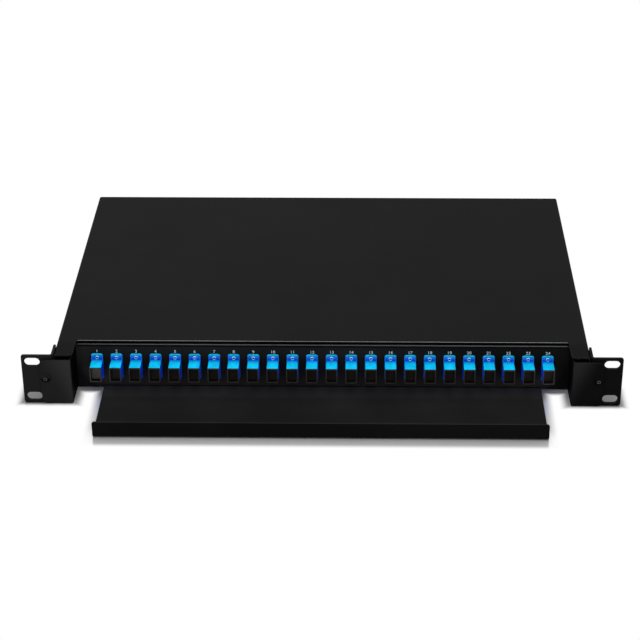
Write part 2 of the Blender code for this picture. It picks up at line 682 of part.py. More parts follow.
def adapter_mesh(unit):
    """One port: a through body with its flange, and a recessed dust cap at each mouth."""
    half_width, half_height = ADAPTER_WIDTH / 2, ADAPTER_HEIGHT / 2
    radii = (ADAPTER_EDGE,) * 4
    body = rectangle(-half_width, half_width, -half_height, half_height, radii, CHAMFER_STEPS)
    blank = extruded("adapter_blank", [body], "XZ", -ADAPTER_FRONT, ADAPTER_REAR)
    adapter = unit.piece("adapter_blank", blank, "blue_plastic", "unit_frame")
    flange = [rectangle(-FLANGE_WIDTH / 2, FLANGE_WIDTH / 2, -FLANGE_HEIGHT / 2, FLANGE_HEIGHT / 2,
                        (FLANGE_CORNER,) * 4, FLANGE_CORNER_STEPS)]
    flange += [circle((0, end * FLANGE_HOLE_SPAN / 2), FLANGE_HOLE, FLANGE_HOLE_STEPS) for end in (-1, 1)]
    unit.shape(adapter, "UNION", extruded("adapter_flange", flange, "XZ", -GAP - FLANGE_SHEET, -GAP))
    cap_width, cap_height = half_width - CAP_STEP, half_height - CAP_STEP
    cap = rectangle(-cap_width, cap_width, -cap_height, cap_height, radii, CHAMFER_STEPS)
    front, rear = -ADAPTER_FRONT - CAP_PROUD, ADAPTER_REAR
    unit.shape(adapter, "UNION", extruded("cap_rim", [cap], "XZ", front, CAP_DEPTH - ADAPTER_FRONT))
    inner = (cap_width - CAP_RIM, cap_height - CAP_RIM)
    pockets = [((-inner[0], front - CAP_PROUD, -inner[1]), (inner[0], front + CAP_DEPTH, inner[1])),
               ((-inner[0], rear - CAP_DEPTH, -inner[1]), (inner[0], rear + CAP_PROUD, inner[1]))]
    unit.shape(adapter, "DIFFERENCE", boxes("cap_pockets", pockets))
    return evaluated_mesh(adapter, "capped_adapter")


def build_adapters(unit):
    """Port adapters with their caps, side by side in the panel."""
    mesh = adapter_mesh(unit)
    for number, x in enumerate(port_places(), start=1):
        place = (x, PANEL_SETBACK, PORT_HEIGHT)
        unit.piece("adapter_%02d" % number, mesh, "blue_plastic", "drawer_frame", place)


def build_latches(unit):
    """Split grommets fixed in the wings, each with a plunger that is pulled to let the drawer go."""
    seat = -GAP
    head = seat - GROMMET_HEAD_DEPTH
    rim = GROMMET_HEAD / 2
    barrel, bore = GROMMET_BARREL / 2, GROMMET_BORE / 2
    grommet_profile = [(rim - GROMMET_EDGE, head), (rim, head + GROMMET_EDGE), (rim, seat), (barrel, seat),
                       (barrel, GROMMET_REACH), (bore, GROMMET_REACH), (bore, head)]
    knob_back = head - GAP
    knob_front = knob_back - PLUNGER_HEAD_DEPTH
    knob, stem = PLUNGER_HEAD / 2, PLUNGER_STEM / 2
    dimple, dimple_floor = PLUNGER_DIMPLE / 2, knob_front + PLUNGER_DIMPLE_DEPTH
    plunger_profile = [(0, dimple_floor), (dimple, dimple_floor), (dimple, knob_front),
                       (knob - PLUNGER_EDGE, knob_front), (knob, knob_front + PLUNGER_EDGE),
                       (knob, knob_back), (stem, knob_back), (stem, GROMMET_REACH), (0, GROMMET_REACH)]
    along_y = Matrix.Rotation(math.radians(90), 4, "X")
    for name, side in both_sides():
        place = (side * LATCH_SPACING / 2, WING_FRONT, LATCH_HEIGHT)
        meshes = []
        for part, profile, closed in (("latch_grommet_", grommet_profile, True),
                                      ("latch_plunger_", plunger_profile, False)):
            upright = [(radius, -y) for radius, y in profile]
            mesh = turned(part + name, upright, LATCH_STEPS, closed)
            mesh.transform(along_y)
            tidy_mesh(mesh)
            meshes.append(mesh)
        grommet, plunger = meshes
        collar = unit.piece("latch_grommet_" + name, grommet, "black_plastic", "drawer_frame", place, True)
        slits = boxes("grommet_slits_" + name, [((-rim, SHEET + GAP, -GROMMET_SLOT / 2),
                                                 (rim, GROMMET_REACH + OVERRUN, GROMMET_SLOT / 2))])
        unit.shape(collar, "DIFFERENCE", slits, "drawer_frame", place)
        unit.piece("latch_plunger_" + name, plunger, "black_plastic", "latch_frame_" + name, place, True)


def rail_sizes():
    """Half heights and x places of the three nested rails, from the casing side inwards."""
    half_sheet = RAIL_SHEET / 2
    outer_flange = RAIL_HEIGHT / 2 - half_sheet
    middle_flange = outer_flange - RACE_GAP - RAIL_SHEET
    inner_flange = middle_flange - RACE_GAP - RAIL_SHEET
    outer_web = CASING_INSIDE - GAP - half_sheet
    middle_web = outer_web - RAIL_SHEET - RAIL_SIDE_PLAY
    inner_web = RETURN_OUTSIDE + GAP + half_sheet
    return outer_flange, middle_flange, inner_flange, outer_web, middle_web, inner_web


def build_slides(unit):
    """Three nested rails on each side, with ball cages between them."""
    outer_z, middle_z, inner_z, outer_x, middle_x, inner_x = rail_sizes()
    half_sheet = RAIL_SHEET / 2
    outer_tip = CASING_INSIDE - GAP - RAIL_REACH
    middle_tip = inner_x + half_sheet + MIDDLE_TIP_PLAY
    inner_tip = middle_x - half_sheet - INNER_TIP_PLAY
    lip = outer_z - RAIL_LIP
    outer = [(outer_tip, lip), (outer_tip, outer_z), (outer_x, outer_z), (outer_x, -outer_z),
             (outer_tip, -outer_z), (outer_tip, -lip)]
    middle = [(middle_tip, middle_z), (middle_x, middle_z), (middle_x, -middle_z),
              (middle_tip, -middle_z)]
    inner = [(inner_tip, inner_z), (inner_x, inner_z), (inner_x, -inner_z), (inner_tip, -inner_z)]
    for name, side in both_sides():
        for part, path, frame in (("outer_rail_", outer, "unit_frame"),
                                  ("middle_rail_", middle, "middle_frame_" + name),
                                  ("inner_rail_", inner, "drawer_frame")):
            outline = mirrored(folded(path, RAIL_SHEET, RAIL_FOLD_RADIUS), side)
            mesh = extruded(part + name, [outline], "XZ", RAIL_FRONT, RAIL_REAR)
            place = unit.frames[frame]["place"]
            mesh.transform(Matrix.Translation((0, -place[1], RAIL_CENTRE - place[2])))
            unit.piece(part + name, mesh, "zinc_steel", frame, place)
        outer_race = (outer_z + middle_z) / 2
        inner_race = (middle_z + inner_z) / 2
        outer_back = (outer_x + middle_x) / 2
        inner_back = (middle_x - half_sheet + inner_tip) / 2
        build_ball_cage(unit, "outer", name, side, outer_back, outer_race)
        build_ball_cage(unit, "inner", name, side, inner_back, inner_race)


def build_ball_cage(unit, row, name, side, back, race):
    """A thin channel with a row of balls in each of its flanges."""
    tip = back - CAGE_REACH
    title = row + "_ball_cage_" + name
    channel = folded([(tip, race), (back, race), (back, -race), (tip, -race)], CAGE_SHEET, CAGE_SHEET)
    outline = mirrored(channel, side)
    length = (BALLS_IN_ROW - 1) * BALL_PITCH + 2 * CAGE_MARGIN
    place = unit.frames[title + "_frame"]["place"]
    mesh = extruded(title, [outline], "XZ", CAGE_FRONT, CAGE_FRONT + length)
    mesh.transform(Matrix.Translation((0, -place[1], RAIL_CENTRE - place[2])))
    cage = unit.piece(title, mesh, "steel_balls", title + "_frame", place)
    work = bmesh.new()
    for level in (-race, race):
        for index in range(BALLS_IN_ROW):
            at = (side * (back - BALL_SETBACK), CAGE_FRONT + CAGE_MARGIN + index * BALL_PITCH,
                  RAIL_CENTRE + level)
            bmesh.ops.create_uvsphere(work, u_segments=BALL_STEPS, v_segments=BALL_RINGS,
                                      radius=BALL / 2, matrix=Matrix.Translation(at))
    balls = bpy.data.meshes.new(title + "_balls")
    work.to_mesh(balls)
    work.free()
    unit.shape(cage, "UNION", balls, "unit_frame")


def build_splice_tray(unit):
    """Round-cornered tray with two winding hubs, the comb between them and a snap-on lid."""
    base = TRAY_FLOOR + GAP
    half_x, half_y = SPLICE_LENGTH / 2, SPLICE_WIDTH / 2
    outline = rectangle(-half_x, half_x, -half_y, half_y, (SPLICE_CORNER,) * 4, SPLICE_CORNER_STEPS)
    place = (0, SPLICE_CENTRE, base)
    tray = unit.piece("splice_tray", extruded("splice_tray", [outline], "XY", 0, SPLICE_HEIGHT),
                      "white_plastic", "drawer_frame", place)
    inner_x, inner_y = half_x - SPLICE_WALL, half_y - SPLICE_WALL
    inner = rectangle(-inner_x, inner_x, -inner_y, inner_y, (SPLICE_CORNER - SPLICE_WALL,) * 4,
                      SPLICE_CORNER_STEPS)
    hubs = []
    for end in (-1, 1):
        centre = (end * SPLICE_HUB_SPACING / 2, 0)
        hubs.append(circle(centre, SPLICE_HUB, TURN_STEPS))
        hubs.append(circle(centre, SPLICE_HUB - 2 * SPLICE_HUB_WALL, TURN_STEPS))
    pocket = extruded("splice_pocket", [inner] + hubs, "XY", SPLICE_FLOOR, SPLICE_HEIGHT + OVERRUN)
    unit.shape(tray, "DIFFERENCE", pocket, "drawer_frame", place)
    doors = []
    for end_x in (-1, 1):
        for end_y in (-1, 1):
            x = end_x * (half_x - SPLICE_CORNER - SPLICE_DOOR / 2)
            y = end_y * half_y
            doors.append(((x - SPLICE_DOOR / 2, y - 2 * SPLICE_WALL, SPLICE_FLOOR),
                          (x + SPLICE_DOOR / 2, y + 2 * SPLICE_WALL, SPLICE_HEIGHT + OVERRUN)))
    unit.shape(tray, "DIFFERENCE", boxes("splice_doors", doors), "drawer_frame", place)

    length = COMB_SLOTS * COMB_PITCH + COMB_PITCH - COMB_SLOT
    comb = [Vector((-length / 2, 0)), Vector((length / 2, 0)), Vector((length / 2, COMB_HEIGHT))]
    for index in range(COMB_SLOTS):
        right = length / 2 - (COMB_PITCH - COMB_SLOT) - index * COMB_PITCH
        left = right - COMB_SLOT
        comb += [Vector((right, COMB_HEIGHT)), Vector((right, COMB_BASE)), Vector((left, COMB_BASE)),
                 Vector((left, COMB_HEIGHT))]
    comb.append(Vector((-length / 2, COMB_HEIGHT)))
    stand = (0, SPLICE_CENTRE, base + SPLICE_FLOOR + GAP)
    unit.piece("splice_comb", extruded("splice_comb", [comb], "XZ", -COMB_WIDTH / 2, COMB_WIDTH / 2),
               "black_plastic", "drawer_frame", stand)

    lid_place = (0, SPLICE_CENTRE, base + SPLICE_HEIGHT + GAP)
    lid = unit.piece("splice_tray_lid", extruded("splice_tray_lid", [outline], "XY", 0, LID_SHEET),
                     "clear_plastic", "drawer_frame", lid_place)
    hook = half_y + GAP
    low, high = LID_TAB_INSET, LID_SHEET - LID_TAB_INSET
    angle = [Vector((inner_y, low)), Vector((hook, low)), Vector((hook, -LID_TAB_DEPTH)),
             Vector((hook + LID_TAB_SHEET, -LID_TAB_DEPTH)), Vector((hook + LID_TAB_SHEET, high)),
             Vector((inner_y, high))]
    for number, (end_x, end_y) in enumerate(((-1, -1), (1, -1), (1, 1), (-1, 1)), start=1):
        middle = end_x * LID_TAB_SPACING / 2
        hooked = extruded("lid_hook_%d" % number, [mirrored(angle, end_y)], "YZ", middle - LID_TAB_WIDTH / 2,
                          middle + LID_TAB_WIDTH / 2)
        unit.shape(lid, "UNION", hooked, "drawer_frame", lid_place)


def build_spools(unit):
    """Drums for the spare fibre, each with a flange below and four fingers above."""
    hub, flange = SPOOL_HUB / 2, SPOOL_FLANGE / 2
    inside = hub - SPOOL_WALL
    top, under = SPOOL_HEIGHT, SPOOL_HEIGHT - SPOOL_FLANGE_SHEET
    profile = [(inside, top), (flange, top), (flange, under), (hub, under), (hub, SPOOL_FLANGE_SHEET),
               (flange, SPOOL_FLANGE_SHEET), (flange, 0), (inside, 0)]
    for name, side in both_sides():
        place = (side * SPOOL_PLACE, SPOOL_CENTRE, TRAY_FLOOR + GAP)
        mesh = turned("fibre_spool_" + name, profile, TURN_STEPS)
        spool = unit.piece("fibre_spool_" + name, mesh, "black_plastic", "drawer_frame", place, True)
        windows = []
        for quarter in range(4):
            finger = math.degrees(SPOOL_FINGER / 2 / flange)
            first, last = 90 * quarter + finger, 90 * (quarter + 1) - finger
            windows.append(arc((0, 0), flange + OVERRUN, first, last, FINGER_STEPS)
                           + arc((0, 0), hub + SPOOL_STEP, last, first, FINGER_STEPS))
        cutter = extruded("finger_windows_" + name, windows, "XY", under - OVERRUN, top + OVERRUN)
        unit.shape(spool, "DIFFERENCE", cutter, "drawer_frame", place)


def build_cable_entries(unit):
    """Glands in the rear wall and, in line with them, the cable saddles in the drawer."""
    wall_outside = BODY_DEPTH + GAP
    wall_inside = BODY_DEPTH - SHEET - GAP
    inner_end = BODY_DEPTH - GLAND_INSIDE
    hex_end = wall_outside + GLAND_HEX_DEPTH
    spout_end = hex_end + GLAND_SPOUT_DEPTH
    cap_start = hex_end + GAP
    for name, side in both_sides():
        centre = (side * ENTRY_SPACING / 2, ENTRY_HEIGHT)
        hexagonal = hexagon(centre, GLAND_HEX)

        thread = rods("cable_gland_" + name, GLAND_THREAD, "Y", inner_end, wall_outside + OVERRUN,
                      [centre], TURN_STEPS)
        gland = unit.piece("cable_gland_" + name, thread, "black_plastic", "unit_frame")
        unit.shape(gland, "UNION", extruded("gland_hex_" + name, [hexagonal], "XZ", wall_outside, hex_end))
        spout = rods("gland_spout_" + name, GLAND_SPOUT, "Y", hex_end - OVERRUN, spout_end,
                     [centre], TURN_STEPS)
        unit.shape(gland, "UNION", spout)
        bore = rods("gland_bore_" + name, GLAND_BORE, "Y", inner_end - OVERRUN, spout_end + OVERRUN,
                    [centre], TURN_STEPS)
        unit.shape(gland, "DIFFERENCE", bore)

        ring = [hexagonal, circle(centre, GLAND_THREAD + 2 * GAP, TURN_STEPS)]
        nut = extruded("gland_nut_" + name, ring, "XZ", wall_inside - GLAND_NUT_DEPTH, wall_inside)
        unit.piece("gland_nut_" + name, nut, "black_plastic", "unit_frame")

        grip = extruded("gland_cap_" + name, [hexagonal], "XZ", cap_start, cap_start + GLAND_CAP_GRIP)
        cap = unit.piece("gland_cap_" + name, grip, "black_plastic", "unit_frame")
        dome_start = cap_start + GLAND_CAP_GRIP - OVERRUN
        dome_length = UNIT_REAR - dome_start
        nose = GLAND_CAP_NOSE / 2
        dome = [(0, 0)]
        for step in range(DOME_STEPS + 1):
            share = step / DOME_STEPS
            dome.append((nose + (GLAND_HEX / 2 - nose) * math.sqrt(1 - share ** 2), dome_length * share))
        dome.append((0, dome_length))
        dome_mesh = turned("gland_dome_" + name, dome[::-1], TURN_STEPS, False)
        dome_mesh.transform(Matrix.Rotation(math.radians(-90), 4, "X"))
        tidy_mesh(dome_mesh)
        unit.shape(cap, "UNION", dome_mesh, "unit_frame", (centre[0], dome_start, centre[1]))
        for title, diameter, end in (("cap_cavity_", GLAND_SPOUT + 2 * GAP, spout_end + GAP),
                                     ("cap_bore_", GLAND_BORE, UNIT_REAR + OVERRUN)):
            cutter = rods(title + name, diameter, "Y", cap_start - OVERRUN, end, [centre], TURN_STEPS)
            unit.shape(cap, "DIFFERENCE", cutter)

        foot = SADDLE_WIDTH / 2 + SADDLE_FOOT
        edge, crown = SADDLE_WIDTH / 2 - SHEET / 2, SADDLE_HEIGHT - SHEET / 2
        path = [(-foot, SHEET / 2), (-edge, SHEET / 2), (-edge, crown), (edge, crown), (edge, SHEET / 2),
                (foot, SHEET / 2)]
        saddle = extruded("cable_saddle_" + name, [folded(path, SHEET, FOLD_RADIUS)], "XZ",
                          -SADDLE_DEPTH / 2, SADDLE_DEPTH / 2)
        place = (centre[0], TRAY_REAR - SADDLE_SETBACK, TRAY_FLOOR + GAP)
        unit.piece("cable_saddle_" + name, saddle, "zinc_steel", "drawer_frame", place)


def main():
    """Build the whole unit, closed."""
    clear_scene()
    unit = Unit()
    unit.add_frame("drawer_frame", "unit_frame", (0, WING_FRONT, RAIL_CENTRE))
    for name, side in both_sides():
        middle_x = side * rail_sizes()[4]
        for frame in ("middle_frame_" + name, "outer_ball_cage_" + name + "_frame",
                      "inner_ball_cage_" + name + "_frame"):
            unit.add_frame(frame, "unit_frame", (0, RAIL_FRONT, RAIL_CENTRE))
        latch = (side * LATCH_SPACING / 2, WING_FRONT, LATCH_HEIGHT)
        unit.add_frame("latch_frame_" + name, "drawer_frame", latch)
    build_casing(unit)
    build_base_pan(unit)
    build_ears(unit)
    build_drawer_front(unit)
    build_drawer_tray(unit)
    build_adapters(unit)
    build_latches(unit)
    build_slides(unit)
    build_splice_tray(unit)
    build_spools(unit)
    build_cable_entries(unit)


main()
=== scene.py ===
"""Sliding fibre patch drawer: a one-unit rack drawer with 24 capped ports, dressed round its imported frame.

All places are in metres in the frame's own axes: X to the right, Y to the back, Z up. The drawer's front is
towards -Y and the unit stands on z = 0.
"""

import logging
import math
from collections.abc import Callable, Mapping, Sequence
from dataclasses import dataclass
from enum import Enum
from typing import Any, ClassVar, Union

import bmesh
import bpy
from bmesh.types import BMEdge, BMFace, BMVert
from mathutils import Matrix, Vector


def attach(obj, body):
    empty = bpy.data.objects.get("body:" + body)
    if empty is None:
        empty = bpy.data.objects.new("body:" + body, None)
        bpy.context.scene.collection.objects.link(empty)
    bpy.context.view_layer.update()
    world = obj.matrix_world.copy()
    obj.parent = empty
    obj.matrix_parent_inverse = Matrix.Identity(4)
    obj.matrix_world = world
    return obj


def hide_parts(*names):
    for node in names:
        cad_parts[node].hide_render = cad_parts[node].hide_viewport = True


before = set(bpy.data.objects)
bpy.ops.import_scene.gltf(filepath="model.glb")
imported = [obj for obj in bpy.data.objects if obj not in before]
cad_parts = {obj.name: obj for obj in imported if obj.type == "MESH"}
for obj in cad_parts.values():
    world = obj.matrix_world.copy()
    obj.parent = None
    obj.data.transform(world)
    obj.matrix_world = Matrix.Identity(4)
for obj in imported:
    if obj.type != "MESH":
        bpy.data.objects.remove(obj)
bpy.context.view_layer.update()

LOG = logging.getLogger("patch_drawer")

WELD = 0.000005
OVERRUN = 0.001
THROUGH = 0.004
SQUARE = 0.9
FLAT_ANGLE = math.radians(0.3)
RACK_FRONT = -0.135
SHEET = 0.0012
INNER_BEND = 0.0008
OUTER_BEND = INNER_BEND + SHEET
BEND_STEPS = 6
RIM_BEVEL = 0.00022
RIM_ANGLE = 55.0
SHADE_ANGLE = 38.0
RIGHT_ANGLE = math.pi / 2
PORT_COUNT = 24
PORT_PITCH = 0.01595
PORT_HEIGHT = 0.0209
PANEL_FACE = RACK_FRONT + 0.0246
LATCH_SPACING = 0.4444
LATCH_HEIGHT = 0.0240
LATCH_HOLE = 0.0056
WING_FACE = RACK_FRONT - 0.0016
TRAY_TOP = 0.0036
PIECE_GAP = 0.0003
REAR_WALL = 0.1650
ENTRY_HALF = 0.1500
ENTRY_HEIGHT = 0.0210
ENDS = (-1, 1)
QUARTERS = tuple((x, y) for x in ENDS for y in ENDS)

Triple = tuple[float, float, float]
Colour = Triple
Place = Sequence[float]
Points = Sequence[tuple[float, float]]
Feed = Union["Signal", float, Colour, Vector]
ACROSS, UPRIGHT, DEEP = Vector((1, 0, 0)), Vector((0, 0, 1)), Vector((0, 1, 0))


class Side(Enum):
    """Which end of the drawer a piece stands at."""

    LEFT = -1
    RIGHT = 1

    @property
    def word(self) -> str:
        """The end's name in a piece's name."""
        return self.name.lower()


class Facing(Enum):
    """The way that a drawn outline faces once it stands in the frame."""

    UP = "up"
    FRONT = "front"
    RIGHT = "right"

    def stand(self, level: float) -> Matrix:
        """The matrix that takes a drawing to its plane.

        Args:
            level: the plane's place along the axis that it faces.

        Returns:
            The drawing's x and y become x and y, x and z, or y and z.
        """
        if self is Facing.UP:
            return Matrix.Translation((0, 0, level))
        if self is Facing.FRONT:
            return Matrix.Translation((0, level, 0)) @ Matrix.Rotation(RIGHT_ANGLE, 4, "X")
        turned = Matrix(((0, 0, 1, 0), (1, 0, 0, 0), (0, 1, 0, 0), (0, 0, 0, 1)))
        return Matrix.Translation((level, 0, 0)) @ turned


class Signal:
    """A node's output, on which arithmetic adds Math nodes."""

    def __init__(self, tree: "Tree", socket: bpy.types.NodeSocket) -> None:
        """Wraps one socket of a tree."""
        self.tree = tree
        self.socket = socket

    def _math(self, operation: str, first: Feed, second: Feed) -> "Signal":
        """Adds one Math node and hands on its result."""
        return self.tree.node("ShaderNodeMath", {"operation": operation}, {0: first, 1: second})

    def __add__(self, other: Feed) -> "Signal":
        """This plus another."""
        return self._math("ADD", self, other)

    def __radd__(self, other: Feed) -> "Signal":
        """Another plus this."""
        return self._math("ADD", other, self)

    def __sub__(self, other: Feed) -> "Signal":
        """This less another."""
        return self._math("SUBTRACT", self, other)

    def __rsub__(self, other: Feed) -> "Signal":
        """Another less this."""
        return self._math("SUBTRACT", other, self)

    def __mul__(self, other: Feed) -> "Signal":
        """This times another."""
        return self._math("MULTIPLY", self, other)

    def __rmul__(self, other: Feed) -> "Signal":
        """Another times this."""
        return self._math("MULTIPLY", other, self)

    def larger(self, other: Feed) -> "Signal":
        """The larger of this and another."""
        return self._math("MAXIMUM", self, other)

    def smaller(self, other: Feed) -> "Signal":
        """The smaller of this and another."""
        return self._math("MINIMUM", self, other)

    def size(self) -> "Signal":
        """This without its sign."""
        return self.larger(0.0 - self)

    def above(self, level: float, spread: float) -> "Signal":
        """A soft step: 0 below the level, rising to 1 over the spread."""
        settings = {"interpolation_type": "SMOOTHSTEP"}
        return self.tree.node("ShaderNodeMapRange", settings, {0: self, 1: level, 2: level + spread})


@dataclass(frozen=True)
class Fade:
    """Painted light or shade: a finish's colour made lighter or darker along one direction."""

    towards: Triple
    start: float
    span: float
    tint: Colour


def grey(value: float) -> Colour:
    """A colour with three equal parts."""
    return (value, value, value)


def shaded(colour: Colour, factor: float, lift: float = 0.0) -> Colour:
    """A colour darkened or brightened, with the same lift on each part."""
    return tuple(min(1.0, part * factor + lift) for part in colour)


class Tree:
    """A node tree under way, with short ways to add nodes."""

    def __init__(self, tree: bpy.types.NodeTree) -> None:
        """Starts with an empty tree."""
        self.tree = tree
        self.tree.nodes.clear()
        self._object: Signal | None = None

    def node(self, kind: str, settings: Mapping[str, Any] | None = None,
             sockets: Mapping[str | int, Feed] | None = None, output: str | int = 0) -> Signal:
        """Adds any node.

        Args:
            kind: the node's type.
            settings: its own settings, set before the sockets.
            sockets: value or link of each input, by name or index.
            output: which output is handed on, by name or index.

        Returns:
            The chosen output.
        """
        made = self.tree.nodes.new(kind)
        for key, value in (settings or {}).items():
            setattr(made, key, value)
        for key, value in (sockets or {}).items():
            self.feed(made.inputs[key], value)
        return Signal(self, made.outputs[output] if len(made.outputs) else None)

    def feed(self, socket: bpy.types.NodeSocket, value: Feed) -> None:
        """Links a signal to a socket, or sets its value.

        Args:
            socket: the input.
            value: its link or value.
        """
        if isinstance(value, Signal):
            self.tree.links.new(value.socket, socket)
        elif socket.type == "RGBA":
            socket.default_value = (*value, 1.0)
        else:
            socket.default_value = value

    @property
    def place(self) -> Signal:
        """Object coordinates, which are the frame's metres."""
        if self._object is None:
            self._object = self.node("ShaderNodeTexCoord", output="Object")
        return self._object

    def stretched(self, scale: Triple) -> Signal:
        """Object coordinates stretched along the axes, for grain that runs one way."""
        return self.node("ShaderNodeMapping", {}, {"Vector": self.place, "Scale": Vector(scale)})

    def noise(self, scale: float, detail: float = 2.0, at: Signal | None = None) -> Signal:
        """Noise round 0.5, with so many features in a metre and so many finer octaves."""
        sockets = {"Vector": at or self.place, "Scale": scale, "Detail": detail}
        return self.node("ShaderNodeTexNoise", {}, sockets)

    def crystals(self, scale: float) -> Signal:
        """A value that changes from one Voronoi cell to the next."""
        cells = self.node("ShaderNodeTexVoronoi", {}, {"Vector": self.place, "Scale": scale}, "Color")
        return self.node("ShaderNodeSeparateColor", {}, {0: cells})

    def along(self, towards: Triple) -> Signal:
        """How far a point lies along a direction."""
        sockets = {0: self.place, 1: Vector(towards)}
        return self.node("ShaderNodeVectorMath", {"operation": "DOT_PRODUCT"}, sockets, "Value")

    def mix(self, factor: Feed, first: Feed, second: Feed) -> Signal:
        """A colour between two, by a factor."""
        # The node's inputs 6 and 7 and its output 2 are the ones for colours.
        return self.node("ShaderNodeMix", {"data_type": "RGBA"}, {0: factor, 6: first, 7: second}, 2)

    def with_painted_light(self, colour: Feed, fades: Sequence[Fade]) -> Feed:
        """A colour with painted light or shade from one or more fades.

        Args:
            colour: the colour at each fade's start.
            fades: the fades of painted light or shade.

        Returns:
            The colour, painted lighter or darker beyond each fade.
        """
        for fade in fades:
            share = self.along(fade.towards).above(fade.start, fade.span)
            tint = self.mix(share, grey(1.0), fade.tint)
            colour = self.node("ShaderNodeVectorMath", {"operation": "MULTIPLY"}, {0: colour, 1: tint})
        return colour

    def seen(self) -> Signal:
        """1 for what the camera sees straight, in a mirror or through glass, and 0 for light."""
        camera, glossy, through = (self.node("ShaderNodeLightPath", output=f"Is {kind} Ray")
                                   for kind in ("Camera", "Glossy", "Transmission"))
        return camera.larger(glossy).larger(through)


class Paint(Tree):
    """A material under way, with its shader."""

    def __init__(self, name: str) -> None:
        """Starts a material with a Principled shader.

        Args:
            name: the material's name.
        """
        self.material = bpy.data.materials.new(name)
        self.material.use_nodes = True
        super().__init__(self.material.node_tree)
        self.shader = self.node("ShaderNodeBsdfPrincipled")
        self.end = self.tree.nodes.new("ShaderNodeOutputMaterial").inputs["Surface"]
        self.finish(self.shader)

    def finish(self, surface: Signal) -> None:
        """Links the surface that the material shows."""
        self.feed(self.end, surface)

    def dress(self, sockets: Mapping[str, Feed]) -> bpy.types.Material:
        """Feeds the shader.

        Args:
            sockets: value or link of each of the shader's inputs.

        Returns:
            The finished material.
        """
        for key, value in sockets.items():
            self.feed(self.shader.socket.node.inputs[key], value)
        return self.material

    def bump(self, height: Signal, strength: float, depth: float) -> Signal:
        """A normal bumped by a relief, its strength from 0 to 1 and its height in metres."""
        return self.node("ShaderNodeBump", {}, {"Height": height, "Strength": strength, "Distance": depth})


class Finish:
    """A finish that makes its material once."""

    name: str

    def make(self) -> bpy.types.Material:
        """Makes the material."""
        raise NotImplementedError

    def material(self) -> bpy.types.Material:
        """The finish's material, made at its first use."""
        return bpy.data.materials.get(self.name) or self.make()


@dataclass(frozen=True)
class PowderCoat(Finish):
    """Fine-grained black powder coat, with an orange-peel skin and faint handling marks."""

    name: str
    colour: Colour
    gloss: float
    roughness: float = 0.52
    # Fades of painted light or shade over the coat's colour.
    fades: tuple[Fade, ...] = ()
    grain: float = 2300.0
    grain_depth: float = 0.00005

    def make(self) -> bpy.types.Material:
        """Coat colour with slow clouding, fine speckle, faint scuffs and any painted light or shade from its
        fades.

        Returns:
            The material.
        """
        paint = Paint(self.name)
        grain = paint.noise(self.grain, 3.0)
        cloud = paint.noise(14.0, 3.0)
        speck = paint.noise(6200.0, 1.0).above(0.60, 0.12)
        scuff = paint.noise(60.0, 4.0, paint.stretched((1.0, 7.0, 3.0))).above(0.60, 0.16)
        colour = paint.mix(cloud.above(0.30, 0.40), shaded(self.colour, 0.84), shaded(self.colour, 1.20))
        colour = paint.mix(speck * 0.35, colour, shaded(self.colour, 1.75, 0.0008))
        return paint.dress({
            "Base Color": paint.with_painted_light(colour, self.fades),
            "Roughness": self.roughness + (cloud - 0.5) * 0.16 - scuff * 0.06,
            "Specular IOR Level": self.gloss,
            "Normal": paint.bump(grain, 0.55, self.grain_depth),
        })


@dataclass(frozen=True)
class MouldedPlastic(Finish):
    """Moulded plastic with a fine spark-eroded skin and soft flow marks."""

    name: str
    colour: Colour
    gloss: float
    roughness: float = 0.34
    # Fades of painted light or shade over the plastic's colour.
    fades: tuple[Fade, ...] = ()
    skin: float = 4200.0
    skin_depth: float = 0.00002
    alpha: float = 1.0

    def make(self) -> bpy.types.Material:
        """Plastic colour with flow marks, dust-fine specks, an uneven gloss and any painted light or shade
        from its fades.

        Returns:
            The material.
        """
        paint = Paint(self.name)
        skin = paint.noise(self.skin, 2.0)
        flow = paint.noise(210.0, 3.0, paint.stretched((1.0, 0.45, 1.0)))
        dark, light = shaded(self.colour, 0.88), shaded(self.colour, 1.10, 0.001)
        sockets: dict[str, Feed] = {
            "Base Color": paint.with_painted_light(paint.mix(flow.above(0.32, 0.36), dark, light), self.fades),
            "Roughness": self.roughness + (flow - 0.5) * 0.18,
            "Specular IOR Level": self.gloss,
            "Normal": paint.bump(skin, 0.4, self.skin_depth),
        }
        if self.alpha < 1.0:
            sockets["Alpha"] = self.alpha + (flow - 0.5) * 0.10
        return paint.dress(sockets)


@dataclass(frozen=True)
class ZincPlate(Finish):
    """Bright zinc plate: crystal spangle under fine rolling lines."""

    name: str
    colour: Colour = (0.56, 0.57, 0.59)
    roughness: float = 0.33
    spangle: float = 190.0

    def make(self) -> bpy.types.Material:
        """Metal whose colour and gloss change from crystal to crystal.

        Returns:
            The material.
        """
        paint = Paint(self.name)
        crystal = paint.crystals(self.spangle)
        lines = paint.noise(420.0, 3.0, paint.stretched((6.0, 0.06, 6.0)))
        return paint.dress({
            "Base Color": paint.mix(crystal * 0.6 + lines * 0.4, shaded(self.colour, 0.80), self.colour),
            "Metallic": 1.0,
            "Roughness": self.roughness + (crystal - 0.5) * 0.12 + (lines - 0.5) * 0.14,
            "Normal": paint.bump(lines, 0.35, 0.00003),
        })


@dataclass(frozen=True)
class PolishedSteel(Finish):
    """Polished or nickel-plated steel with hairline marks."""

    name: str
    colour: Colour = (0.70, 0.71, 0.73)
    roughness: float = 0.14

    def make(self) -> bpy.types.Material:
        """Bright metal with fine uneven marks.

        Returns:
            The material.
        """
        paint = Paint(self.name)
        marks = paint.noise(900.0, 4.0)
        return paint.dress({
            "Base Color": paint.mix(marks.above(0.35, 0.3), shaded(self.colour, 0.82), self.colour),
            "Metallic": 1.0,
            "Roughness": self.roughness + marks * 0.10,
            "Normal": paint.bump(paint.noise(2600.0), 0.2, 0.00002),
        })


